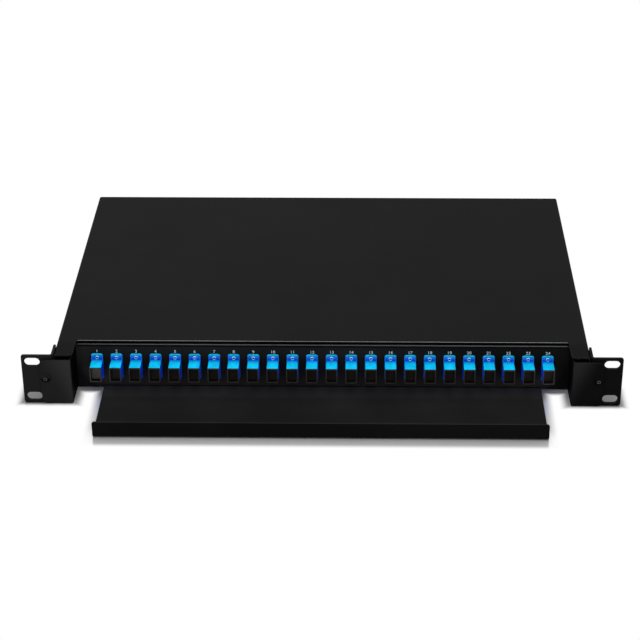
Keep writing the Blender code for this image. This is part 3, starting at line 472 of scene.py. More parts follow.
@dataclass(frozen=True)
class Rubber(Finish):
    """Matt black moulded rubber with a little bloom."""

    name: str
    colour: Colour = (0.015, 0.015, 0.015)

    def make(self) -> bpy.types.Material:
        """Dull black with pale bloom in patches.

        Returns:
            The material.
        """
        paint = Paint(self.name)
        bloom = paint.noise(320.0, 4.0)
        return paint.dress({
            "Base Color": paint.mix(bloom.above(0.45, 0.3), self.colour, shaded(self.colour, 1.0, 0.012)),
            "Roughness": 0.74 + (bloom - 0.5) * 0.2,
            "Specular IOR Level": 0.3,
            "Normal": paint.bump(paint.noise(2800.0), 0.5, 0.00005),
        })


@dataclass(frozen=True)
class PrintedInk(Finish):
    """White screen-printed ink, thin where the mesh of the screen was."""

    name: str
    colour: Colour = (0.78, 0.79, 0.80)

    def make(self) -> bpy.types.Material:
        """Ink with a fine uneven cover.

        Returns:
            The material.
        """
        paint = Paint(self.name)
        cover = paint.noise(3800.0, 2.0)
        return paint.dress({
            "Base Color": paint.mix(cover.above(0.34, 0.22), shaded(self.colour, 0.72), self.colour),
            "Roughness": 0.48 + cover * 0.15,
            "Specular IOR Level": 0.2,
            "Normal": paint.bump(cover, 0.3, 0.00002),
        })


# Roof coat with painted shade: the arms in front of the notch darker than the roof behind, and the whole roof
# darker towards the right.
COAT = PowderCoat("coat_face", grey(0.0043), 0.018, fades=(
    Fade((0, 1, 0), RACK_FRONT + 0.0170, 0.0120, grey(1.60)), Fade((1, 0, 0), -0.15, 0.30, grey(0.80))))
COAT_LIP = PowderCoat("coat_lip", grey(0.0048), 0.010)
# Lighter copy of the lip's coat for its top face: painted light where the lip faces up.
COAT_LIT_LIP_TOP = PowderCoat("coat_lit_lip_top", grey(0.0112), 0.010)
# Near-black copy of the coat for the returns beside the panel: painted shade in the recess.
COAT_RETURN_SHADE = PowderCoat("coat_return_shade", grey(0.0020), 0.004)
# Shelf coat with painted light: it grows lighter towards the panel, where the shade of the ports falls.
COAT_SHELF = PowderCoat("coat_shelf", (0.0086, 0.0086, 0.0087), 0.012, fades=(
    Fade((0, 1, 0), -0.160, 0.055, grey(2.30)), Fade((0, 1, 0), -0.132, 0.016, grey(2.60))))
# Panel coat with painted shade: darker higher up and towards the upper right, far darker at both ends near
# the bottom, and lighter again at the far left end.
COAT_PANEL = PowderCoat("coat_panel", (0.0450, 0.0440, 0.0430), 0.020, fades=(
    Fade((0, 0, 1), 0.006, 0.018, grey(0.38)), Fade((1, 0, 4), 0.170, 0.100, grey(0.45)),
    Fade((-1, 0, -1), 0.168, 0.020, grey(0.15)), Fade((1, 0, -1), 0.168, 0.020, grey(0.15)),
    Fade((-1, 0, 0), 0.186, 0.008, grey(1.50))))
# Wing coats with painted light: the left wing lighter than the right, and each wing lighter towards its inner
# edge and top.
COAT_WINGS = {
    Side.LEFT: PowderCoat("coat_wing_left", (0.0165, 0.0165, 0.0168), 0.020,
                          fades=(Fade((1, 0, 0.5), -0.210, 0.028, grey(2.40)),)),
    Side.RIGHT: PowderCoat("coat_wing_right", (0.0044, 0.0044, 0.0045), 0.010,
                           fades=(Fade((-1, 0, 0.5), -0.206, 0.024, grey(4.40)),))}
# Ear coats with painted light: the left ear lighter than the right.
COAT_EARS = {Side.LEFT: PowderCoat("coat_ear_left", (0.0155, 0.0155, 0.0158), 0.020),
             Side.RIGHT: PowderCoat("coat_ear_right", (0.0044, 0.0044, 0.0045), 0.010)}
# Lighter, glossier copy of the coat for bevelled edges: a painted highlight on the rims, with real gloss.
COAT_HIGHLIGHT_RIM = PowderCoat("coat_highlight_rim", (0.0170, 0.0170, 0.0175), 0.06, roughness=0.42)
# Light copy of the coat for the panel's top fold: a painted highlight along the fold.
COAT_CREST_HIGHLIGHT = PowderCoat("coat_crest_highlight", (0.0900, 0.0900, 0.0910), 0.20, roughness=0.40)
# Near-white copy of the coat for the roof's notch edge: a painted highlight along that edge.
COAT_NOTCH_HIGHLIGHT = PowderCoat("coat_notch_highlight", grey(0.2200), 0.80, roughness=0.35)
COAT_INSIDE = PowderCoat("coat_inside", (0.0100, 0.0100, 0.0104), 0.05, roughness=0.58)
# Shell plastic: its fade paints light on the flange's upper end, lighter and greener towards the top.
BLUE = MouldedPlastic("blue_face", (0.004, 0.085, 0.90), 0.02, roughness=0.38,
                      fades=(Fade((0, 0, 1), 0.0278, 0.0046, (8.0, 4.7, 1.03)),))
# Lighter cyan copy of the shell plastic for upward faces: painted light on the tops, with painted shade where
# the body top meets the flange.
BLUE_LIT_TOP = MouldedPlastic("blue_lit_top", (0.004, 0.55, 0.95), 0.02, roughness=0.34,
                          fades=(Fade((0, 1, -2), -0.1725, 0.0045, (1.0, 0.5, 0.80)),))
# Lighter, glossier copy of the shell plastic for bevelled edges: a painted highlight on the rims.
BLUE_HIGHLIGHT_RIM = MouldedPlastic("blue_highlight_rim", (0.02, 0.26, 0.93), 0.20, roughness=0.28)
# Dark blue for the discs in the eyelets' bores: painted shade inside the holes.
BLUE_BORE_SHADE = MouldedPlastic("blue_bore_shade", (0.0, 0.085, 0.42), 0.02, roughness=0.45)
NYLON = MouldedPlastic("nylon_face", (0.0075, 0.0072, 0.0070), 0.045, roughness=0.46)
# Lighter, glossier copy of the nylon for the caps' front rims and the latch knobs' rings: a painted
# highlight.
NYLON_HIGHLIGHT_RIM = MouldedPlastic("nylon_highlight_rim", (0.058, 0.052, 0.047), 0.12, roughness=0.40)
# Lighter copies of the nylon for the caps' sunk floors: painted light in the pockets, brightest in port 1's
# cap.
NYLON_LIT_FLOOR = MouldedPlastic("nylon_lit_floor", (0.029, 0.026, 0.022), 0.05, roughness=0.46)
NYLON_BRIGHT_LIT_FLOOR = MouldedPlastic("nylon_bright_lit_floor", (0.105, 0.094, 0.086), 0.05, roughness=0.46)
NYLON_SHADE = MouldedPlastic("nylon_shade", grey(0.0010), 0.01, roughness=0.50)
TRAY_WHITE = MouldedPlastic("tray_white", (0.68, 0.68, 0.66), 0.35, roughness=0.42, skin_depth=0.00004)
LID_SMOKE = MouldedPlastic("lid_smoke", (0.46, 0.48, 0.50), 0.5, roughness=0.12, alpha=0.34)
ZINC = ZincPlate("zinc_plate")
ZINC_SCREW = ZincPlate("zinc_screw", (0.50, 0.51, 0.53), roughness=0.28, spangle=1500.0)
BLACK_SCREW = PowderCoat("black_screw", (0.012, 0.012, 0.013), 0.35, roughness=0.35)
BALL_STEEL = PolishedSteel("ball_steel_bright", roughness=0.06)
CAGE_STEEL = PolishedSteel("cage_steel", (0.60, 0.60, 0.60), roughness=0.24)
EYELET_PLATE = PolishedSteel("eyelet_plate", (0.46, 0.74, 1.00), roughness=0.20)
RUBBER = Rubber("seal_rubber")
INK = PrintedInk("port_ink")


def only(bits: Sequence[Any], kind: type) -> list:
    """The bits of one kind."""
    return [bit for bit in bits if isinstance(bit, kind)]


def mirrored_points(half: Points) -> list[tuple[float, float]]:
    """One half of an outline and then its mirror image, as one run of points."""
    return [*half, *((-x, y) for x, y in reversed(half))]


class Form:
    """A mesh under way, shaped with bmesh operators at its place in the frame."""

    def __init__(self) -> None:
        """Starts empty."""
        self.work = bmesh.new()

    @property
    def bits(self) -> list:
        """Every vertex, edge and face."""
        return self.work.verts[:] + self.work.edges[:] + self.work.faces[:]

    @classmethod
    def block(cls, low: Place, high: Place) -> "Form":
        """A block between two corners, for cutting or to be worked further.

        Args:
            low: its lowest corner.
            high: its highest corner.

        Returns:
            The block.
        """
        form = cls()
        size = Vector(high) - Vector(low)
        place = Matrix.Translation((Vector(high) + Vector(low)) / 2) @ Matrix.Diagonal((*size, 1.0))
        bmesh.ops.create_cube(form.work, size=1.0, matrix=place)
        return form

    @classmethod
    def bar(cls, width: float, height: float, corner: float, steps: int, first: float,
            last: float) -> "Form":
        """A bar along Y about the axis, from one place to another, with rounded long edges."""
        form = cls().patch((0.0, 0.0), width, height, corner, steps)
        return form.stand(Facing.FRONT, min(first, last)).push(Facing.FRONT, abs(last - first))

    @classmethod
    def turned(cls, profile: Points, axis: Vector, centre: Place, steps: int = 40,
               ring: bool = True) -> "Form":
        """A solid turned about an axis.

        Args:
            profile: radius and place along the axis of each corner.
            axis: the axis' direction, DEEP or UPRIGHT.
            centre: where the axis starts.
            steps: how many steps go round.
            ring: whether the profile closes on itself, or runs from the axis back to it.

        Returns:
            The solid, in place.
        """
        form = cls()
        verts = [form.work.verts.new(ACROSS * radius + axis * along) for radius, along in profile]
        pairs = list(zip(verts, verts[1:])) + ([(verts[-1], verts[0])] if ring else [])
        edges = [form.work.edges.new(pair) for pair in pairs]
        bmesh.ops.spin(form.work, geom=verts + edges, cent=(0, 0, 0), axis=axis, dvec=(0, 0, 0),
                       angle=math.tau, steps=steps, use_merge=True)
        form.weld()
        form.shift(centre)
        return form.outward()

    @classmethod
    def drill(cls, centre: Place, diameter: float, start: float, end: float, steps: int = 48) -> "Form":
        """A round cutter along Y, its start and end counted from its centre."""
        half = diameter / 2
        return cls.turned([(0, start), (half, start), (half, end), (0, end)], DEEP, centre, steps, ring=False)

    @classmethod
    def strip(cls, section: Points, front: float, back: float, radii: Sequence[float]) -> "Form":
        """A sheet along Y, folded through the corners of its section.

        Args:
            section: x and z of the drawn surface's corners.
            front: where the sheet starts.
            back: where it ends.
            radii: the surface's radius at each corner between the ends.

        Returns:
            The sheet, still without its thickness.
        """
        form = cls()
        (left, low), *others = section
        start = form.work.edges.new([form.work.verts.new((left, y, low)) for y in (front, back)])
        form.along([start], DEEP, [(x, 0.0, z) for x, z in others], radii)
        return form

    def circle(self, centre: tuple[float, float], diameter: float, steps: int = 32) -> "Form":
        """Draws a circle."""
        bmesh.ops.create_circle(self.work, cap_ends=True, radius=diameter / 2, segments=steps,
                                matrix=Matrix.Translation((*centre, 0)))
        return self

    def polygon(self, points: Points, radii: Sequence[float] = (), steps: int = BEND_STEPS) -> "Form":
        """Draws a polygon.

        Args:
            points: its corners.
            radii: how far each corner is rounded, 0 for a sharp one.
            steps: segments of a rounded corner.

        Returns:
            The form itself.
        """
        verts = [self.work.verts.new((*point, 0.0)) for point in points]
        self.work.faces.new(verts)
        for vert, radius in zip(verts, radii):
            if radius:
                bmesh.ops.bevel(self.work, geom=[vert], offset=radius, offset_type="OFFSET", segments=steps,
                                profile=0.5, affect="VERTICES", material=-1)
        return self

    def rectangle(self, left: float, right: float, bottom: float, top: float, radius: float = 0.0,
                  steps: int = BEND_STEPS) -> "Form":
        """Draws a rectangle with evenly rounded corners."""
        return self.polygon([(left, bottom), (right, bottom), (right, top), (left, top)], [radius] * 4, steps)

    def patch(self, centre: tuple[float, float], width: float, height: float, radius: float = 0.0,
              steps: int = BEND_STEPS) -> "Form":
        """Draws a rectangle about a centre."""
        (x, y), wide, high = centre, width / 2, height / 2
        return self.rectangle(x - wide, x + wide, y - high, y + high, radius, steps)

    def stand(self, facing: Facing, level: float) -> "Form":
        """Fills the drawing, with its holes, and stands it in its plane.

        Args:
            facing: the way that the sheet faces.
            level: the plane's place.

        Returns:
            The form itself.
        """
        self.weld()
        if len(self.work.faces) > 1:
            bmesh.ops.delete(self.work, geom=self.work.faces[:], context="FACES_ONLY")
            bmesh.ops.triangle_fill(self.work, use_beauty=True, use_dissolve=False,
                                    edges=self.work.edges[:], normal=UPRIGHT)
        return self.transform(facing.stand(level))

    def push(self, facing: Facing, depth: float) -> "Form":
        """Gives a standing plate its depth, away from the way it faces.

        Args:
            facing: the way that it faces.
            depth: its depth.

        Returns:
            The form itself, closed.
        """
        back = {Facing.UP: -UPRIGHT, Facing.FRONT: DEEP, Facing.RIGHT: -ACROSS}[facing]
        made = bmesh.ops.extrude_face_region(self.work, geom=self.work.faces[:])["geom"]
        bmesh.ops.translate(self.work, verts=only(made, BMVert), vec=back * depth)
        return self.outward()

    def weld(self) -> "Form":
        """Merges points that lie together."""
        bmesh.ops.remove_doubles(self.work, verts=self.work.verts[:], dist=WELD)
        return self

    def flatten(self) -> "Form":
        """Joins neighbouring faces that are flat and of one finish.

        Returns:
            The form itself.
        """
        bmesh.ops.dissolve_limit(self.work, angle_limit=FLAT_ANGLE, verts=self.work.verts[:],
                                 edges=self.work.edges[:], use_dissolve_boundaries=False,
                                 delimit={"MATERIAL"})
        return self

    def outward(self) -> "Form":
        """Turns every face outwards."""
        bmesh.ops.recalc_face_normals(self.work, faces=self.work.faces[:])
        return self

    def transform(self, matrix: Matrix) -> "Form":
        """Moves the whole form by a matrix."""
        bmesh.ops.transform(self.work, matrix=matrix, space=Matrix.Identity(4), verts=self.work.verts[:])
        return self

    def shift(self, vector: Place) -> "Form":
        """Moves the whole form."""
        return self.transform(Matrix.Translation(vector))

    def mirrored(self, side: Side) -> "Form":
        """Takes a form made for the right side to its own side."""
        if side is Side.LEFT:
            self.transform(Matrix.Scale(-1, 4, ACROSS)).outward()
        return self

    def rim(self, inside: Callable[[Vector], bool]) -> list[BMEdge]:
        """Open edges whose two ends both pass a test."""
        return [edge for edge in self.work.edges
                if edge.is_boundary and all(inside(vert.co) for vert in edge.verts)]

    def reach(self, edges: list[BMEdge], vector: Vector) -> list[BMEdge]:
        """Carries open edges straight on.

        Args:
            edges: the edges.
            vector: how far they go.

        Returns:
            The new open edges.
        """
        made = bmesh.ops.extrude_edge_only(self.work, edges=edges)["geom"]
        verts = set(only(made, BMVert))
        bmesh.ops.translate(self.work, verts=list(verts), vec=vector)
        return [edge for edge in only(made, BMEdge) if all(vert in verts for vert in edge.verts)]

    def bend(self, edges: list[BMEdge], centre: Vector, axis: Vector, angle: float) -> list[BMEdge]:
        """Carries open edges round a bend.

        Args:
            edges: the edges.
            centre: a point on the bend's axis.
            axis: the axis.
            angle: how far they go round.

        Returns:
            The new open edges.
        """
        verts = list({vert for edge in edges for vert in edge.verts})
        made = bmesh.ops.spin(self.work, geom=verts + edges, cent=centre, axis=axis, dvec=(0, 0, 0),
                              angle=angle, steps=BEND_STEPS, use_merge=False)["geom_last"]
        return only(made, BMEdge)

    def along(self, edges: list[BMEdge], axis: Vector, corners: Sequence[Place],
              radii: Sequence[float]) -> None:
        """Folds a sheet on from open edges, through corners that become bends.

        Args:
            edges: open edges on one line.
            axis: the line's direction, which every bend turns about.
            corners: the sheet surface's corners beyond the edges, the last one its end.
            radii: the surface's radius at each corner but the last.
        """
        def flat(point: Place) -> Vector:
            """A point without its part along the axis."""
            return Vector(point) - axis * Vector(point).dot(axis)

        here = flat(edges[0].verts[0].co)
        *turns, last = (flat(corner) for corner in corners)
        for turn, onto, radius in zip(turns, [*turns[1:], last], radii):
            heading, onward = (turn - here).normalized(), (onto - turn).normalized()
            angle = math.atan2(heading.cross(onward).dot(axis), heading.dot(onward))
            setback = radius * math.tan(abs(angle) / 2)
            end = turn - heading * setback
            edges = self.reach(edges, end - here)
            edges = self.bend(edges, end + axis.cross(heading) * math.copysign(radius, angle), axis, angle)
            here = turn + onward * setback
        self.reach(edges, last - here)

    def fold_sides(self, half: float, start: float, end: float) -> "Form":
        """Folds over the left and right edge of a level sheet.

        Args:
            half: how far out the folded sides stand.
            start: the sheet's level.
            end: the level that the sides end at.

        Returns:
            The form itself.
        """
        line = half - OUTER_BEND
        for side in Side:
            out = side.value
            edges = self.rim(lambda co: co.x * out > line - WELD)
            self.along(edges, DEEP, [(out * half, 0, start), (out * half, 0, end)], [OUTER_BEND])
        return self

    def thicken(self, outside: Vector, thickness: float) -> "Form":
        """Gives a folded sheet its thickness, behind the surface that was drawn.

        Args:
            outside: the way that the first face drawn looks.
            thickness: the sheet's thickness.

        Returns:
            The form itself, closed.
        """
        self.weld().outward()
        self.work.faces.ensure_lookup_table()
        if self.work.faces[0].normal.dot(outside) < 0:
            bmesh.ops.reverse_faces(self.work, faces=self.work.faces[:])
        bmesh.ops.solidify(self.work, geom=self.work.faces[:], thickness=thickness)
        return self.flatten().outward()

    def bevel(self, edges: list[BMEdge], width: float, segments: int) -> list[BMFace]:
        """Bevels some edges, and hands on the new faces."""
        return bmesh.ops.bevel(self.work, geom=edges, offset=width, offset_type="OFFSET", segments=segments,
                               profile=0.5, affect="EDGES", material=-1, clamp_overlap=False)["faces"]

    def soften(self, width: float = RIM_BEVEL, segments: int = 2, angle: float = RIM_ANGLE,
               finish: int | None = None) -> "Form":
        """Bevels the sharp edges.

        Args:
            width: the bevel's width.
            segments: how many faces it has.
            angle: edges sharper than this are bevelled.
            finish: the finish of the new faces, or None for their neighbours'.

        Returns:
            The form itself.
        """
        sharp = [edge for edge in self.work.edges
                 if edge.is_manifold and edge.calc_face_angle(0.0) > math.radians(angle)]
        made = self.bevel(sharp, width, segments)
        if finish is not None:
            for face in made:
                face.material_index = finish
        return self

    def pocket(self, facing: Vector, margin: float, depth: float) -> "Form":
        """Sinks the outermost face that looks one way.

        Args:
            facing: the way that it looks.
            margin: the rim left round it.
            depth: how deep it is sunk.

        Returns:
            The form itself.
        """
        far = max(face.calc_center_median().dot(facing) for face in self.work.faces)
        faces = [face for face in self.work.faces if face.normal.dot(facing) > SQUARE
                 and face.calc_center_median().dot(facing) > far - WELD]
        bmesh.ops.inset_region(self.work, faces=faces, thickness=margin, depth=0.0, use_even_offset=True,
                               use_boundary=True)
        made = bmesh.ops.extrude_face_region(self.work, geom=faces)["geom"]
        bmesh.ops.translate(self.work, verts=only(made, BMVert), vec=facing * -depth)
        bmesh.ops.delete(self.work, geom=[face for face in faces if face.is_valid], context="FACES_ONLY")
        return self.outward()

    def paint(self, finish: int, chosen: Callable[[BMFace], bool] = lambda face: True) -> "Form":
        """Gives the chosen faces, or all, one of the piece's finishes.

        Args:
            finish: the finish's index.
            chosen: a test of each face.

        Returns:
            The form itself.
        """
        for face in self.work.faces:
            if chosen(face):
                face.material_index = finish
        return self

    def joined(self, *others: "Form") -> "Form":
        """Takes in the meshes of other forms, which are used up.

        Args:
            others: the forms.

        Returns:
            The form itself.
        """
        for other in others:
            spare = other.mesh("spare")
            self.work.from_mesh(spare)
            bpy.data.meshes.remove(spare)
        return self

    def combined(self, operation: str, *others: "Form") -> "Form":
        """Adds or cuts other forms exactly.

        Args:
            operation: "UNION" or "DIFFERENCE".
            others: the forms, which are used up.

        Returns:
            The form itself.
        """
        items = [bpy.data.objects.new("work", form.mesh("work")) for form in (self, *others)]
        for item in items:
            bpy.context.scene.collection.objects.link(item)
        for tool in items[1:]:
            step = items[0].modifiers.new("step", "BOOLEAN")
            step.operation, step.solver, step.object = operation, "EXACT", tool
        graph = bpy.context.evaluated_depsgraph_get()
        result = bpy.data.meshes.new_from_object(items[0].evaluated_get(graph))
        self.work = bmesh.new()
        self.work.from_mesh(result)
        for mesh in [result, *(item.data for item in items)]:
            bpy.data.meshes.remove(mesh)
        return self.weld().flatten()

    def mesh(self, name: str, angle: float = SHADE_ANGLE) -> bpy.types.Mesh:
        """Ends the form as a mesh.

        Args:
            name: the mesh's name.
            angle: edges sharper than this stay sharp when shaded.

        Returns:
            The mesh.
        """
        for edge in self.work.edges:
            edge.smooth = not edge.is_manifold or edge.calc_face_angle(0.0) < math.radians(angle)
        for face in self.work.faces:
            face.smooth = True
        mesh = bpy.data.meshes.new(name)
        self.work.to_mesh(mesh)
        self.work.free()
        return mesh


def link_piece(name: str, shape: Form | bpy.types.Mesh, body: str, finishes: Sequence[Finish],
               node: str | None = None, even: bool = False) -> None:
    """Puts a finished shape into the scene as one piece.

    Args:
        name: the piece's name.
        shape: its form or mesh, in place.
        body: the body that it rides on.
        finishes: its finishes, by material index.
        node: the CAD node that it stands for, or None.
        even: whether large flat faces keep their own normals.
    """
    mesh = shape.mesh(name) if isinstance(shape, Form) else shape
    item = bpy.data.objects.new(name, mesh)
    bpy.context.scene.collection.objects.link(item)
    for finish in finishes:
        mesh.materials.append(finish.material())
    if even:
        item.modifiers.new("even_normals", "WEIGHTED_NORMAL").keep_sharp = True
    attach(item, body)
    if node:
        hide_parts(node)
    LOG.info("%s: %d faces on %s", name, len(mesh.polygons), body)


class Head(Enum):
    """A fixing's head, as the shares of its half width and height at the corners of its crown."""

    PAN = ((1.0, 0.45), (0.86, 0.80), (0.55, 1.0))
    DOME = ((0.92, 0.45), (0.66, 0.82), (0.30, 1.0))


def fixing(kind: Head, seat: Place, facing: Vector, head: float, height: float) -> Form:
    """The head of a cross-recessed screw or a plain rivet, with a short shank behind.

    Args:
        kind: a screw's pan head or a rivet's dome.
        seat: the middle of its seat.
        facing: the way that it looks.
        head: its diameter.
        height: how far it stands proud.

    Returns:
        The head.
    """
    half = head / 2
    shank = half * 0.5
    profile = [(0, -height), (shank, -height), (shank, 0), (half, 0)]
    profile += [(half * out, height * up) for out, up in kind.value] + [(0, height)]
    form = Form.turned(profile, UPRIGHT, (0, 0, 0), 24 if kind is Head.PAN else 20, ring=False)
    if kind is Head.PAN:
        arm, wide, floor = half * 0.55, half * 0.16, height * 0.45
        cuts = [Form.block((-x, -y, floor), (x, y, height * 2)) for x, y in ((arm, wide), (wide, arm))]
        form.combined("DIFFERENCE", *cuts)
    turn = UPRIGHT.rotation_difference(facing).to_matrix().to_4x4()
    return form.transform(Matrix.Translation(seat) @ turn)


def fixings(kind: Head, seats: Sequence[Place], facing: Vector, head: float, height: float) -> Form:
    """Several equal fixings, one on each seat."""
    return Form().joined(*(fixing(kind, seat, facing, head, height) for seat in seats))


@dataclass
class Casing:
    """Roof and sides as one folded sheet, and the pan with its rear wall."""

    half_width: float = 0.2150
    top: float = 0.0438
    front: float = RACK_FRONT + 0.0008
    back: float = REAR_WALL
    notch_half: float = 0.2000
    notch_back: float = RACK_FRONT + 0.0253
    arm_corner: float = 0.0030
    notch_corner: float = 0.0020
    pan_half: float = 0.2135
    pan_front: float = -0.1050
    pan_flange: float = 0.0062
    wall_top: float = 0.0423
    wall_flange: float = 0.0090
    entry_hole: float = 0.0206
    screw_row: float = 0.0037
    screw_head: float = 0.0052
    screw_height: float = 0.0012
    screw_places: ClassVar[tuple[float, ...]] = (-0.0850, 0.0300, 0.1450)

    def build(self) -> None:
        """Makes the casing, the pan and their screws."""
        self.build_cover()
        self.build_pan()
        self.build_screws()

    def build_cover(self) -> None:
        """Notched roof, with each side folded down from its edge."""
        edge = self.half_width - OUTER_BEND
        half = [(-edge, self.back), (-edge, self.front), (-self.notch_half, self.front),
                (-self.notch_half, self.notch_back)]
        radii = [0, 0, self.arm_corner, self.notch_corner]
        form = Form().polygon(mirrored_points(half), radii + radii[::-1]).stand(Facing.UP, self.top)
        # Bevelled rims take a painted highlight (finish 1) and the notch's upper edge a brighter one (finish
        # 2); the roof's coat carries painted shade.
        form.fold_sides(self.half_width, self.top, 0).thicken(UPRIGHT, SHEET).soften(finish=1)
        form.paint(2, self.is_crest)
        link_piece("casing_cover", form, "chassis", [COAT, COAT_HIGHLIGHT_RIM, COAT_NOTCH_HIGHLIGHT],
                   "outer_casing", even=True)

    def is_crest(self, face: BMFace) -> bool:
        """Whether a bevelled face lies on the notch's long upper edge, which takes a painted highlight."""
        middle = face.calc_center_median()
        return (face.material_index == 1 and middle.y < self.notch_back + SHEET
                and abs(middle.x) < self.notch_half - SHEET and middle.z > self.top - SHEET / 2)

    def build_pan(self) -> None:
        """Floor with low side flanges, and the rear wall folded up and over."""
        edge, rear = self.pan_half - OUTER_BEND, self.back - OUTER_BEND
        form = Form().rectangle(-edge, edge, self.pan_front, rear).stand(Facing.UP, 0.0)
        form.fold_sides(self.pan_half, 0, self.pan_flange)
        edges = form.rim(lambda co: co.y > rear - WELD and abs(co.x) < edge + WELD and co.z < WELD)
        corners = [(0, self.back, 0), (0, self.back, self.wall_top),
                   (0, self.back - self.wall_flange, self.wall_top)]
        form.along(edges, ACROSS, corners, [OUTER_BEND, OUTER_BEND])
        form.thicken(-UPRIGHT, SHEET)
        holes = [Form.drill((side.value * ENTRY_HALF, self.back, ENTRY_HEIGHT), self.entry_hole, -THROUGH,
                            THROUGH, 40) for side in Side]
        # The bevelled rims take a painted highlight (finish 1).
        form.combined("DIFFERENCE", *holes).soften(finish=1)
        link_piece("floor_pan", form, "chassis", [COAT_INSIDE, COAT_HIGHLIGHT_RIM], "base_pan",
                   even=True)

    def build_screws(self) -> None:
        """Screws that hold the casing's sides to the pan's flanges."""
        for side in Side:
            seats = [(side.value * self.half_width, place, self.screw_row) for place in self.screw_places]
            form = fixings(Head.PAN, seats, ACROSS * side.value, self.screw_head, self.screw_height)
            link_piece(f"casing_screws_{side.word}", form, "chassis", [BLACK_SCREW])


@dataclass
class RackEars:
    """Left and right rack ear: a slotted face folded back into a short flange."""

    inside: float = 0.2153
    tip: float = 0.2413
    height: float = 0.0440
    sheet: float = 0.0020
    bend: float = 0.0030
    edge: float = 0.0003
    flange_end: float = RACK_FRONT + 0.0180
    corner: float = 0.0020
    slot_middle: float = 0.23255
    slot_length: float = 0.0125
    slot_height: float = 0.0071
    slot_pitch: float = 0.03175
    screw_place: float = RACK_FRONT + 0.0110
    screw_head: float = 0.0066
    screw_height: float = 0.0020
    screw_levels: ClassVar[tuple[float, ...]] = (0.0120, 0.0320)

    def build(self) -> None:
        """Makes both ears and their screws."""
        for side in Side:
            # Each ear takes its side's coat with painted light, and its bevelled rims a painted highlight.
            link_piece(f"ear_{side.word}", self.ear().mirrored(side), "chassis", [COAT_EARS[side], COAT_HIGHLIGHT_RIM],
                       f"rack_ear_{side.word}", even=True)
            seats = [(side.value * (self.inside + self.sheet), self.screw_place, level)
                     for level in self.screw_levels]
            screws = fixings(Head.PAN, seats, ACROSS * side.value, self.screw_head, self.screw_height)
            link_piece(f"ear_screws_{side.word}", screws, "chassis", [ZINC_SCREW])

    def ear(self) -> Form:
        """The right ear.

        Returns:
            The ear, folded and slotted.
        """
        fold = self.inside + self.bend
        form = Form().polygon([(fold, 0), (self.tip, 0), (self.tip, self.height), (fold, self.height)],
                              [0, self.corner, self.corner, 0])
        for end in ENDS:
            form.patch((self.slot_middle, self.height / 2 + end * self.slot_pitch / 2), self.slot_length,
                       self.slot_height, self.slot_height / 2 - WELD, 10)
        form.circle((LATCH_SPACING / 2, LATCH_HEIGHT), LATCH_HOLE).stand(Facing.FRONT, RACK_FRONT)
        edges = form.rim(lambda co: co.x < fold + WELD)
        corners = [(self.inside, RACK_FRONT, 0), (self.inside, self.flange_end, 0)]
        form.along(edges, UPRIGHT, corners, [self.bend])
        return form.thicken(-DEEP, self.sheet).soften(self.edge, 3, finish=1)


class Zone(Enum):
    """The parts of the folded front, by material index, each with its own copy of the coat carrying painted
    light, shade or highlight.
    """

    LIP = 0
    RIM = 1
    CREST = 2
    PANEL = 3
    SHELF = 4
    WING_LEFT = 5
    WING_RIGHT = 6
    RETURN = 7
    LIP_TOP = 8


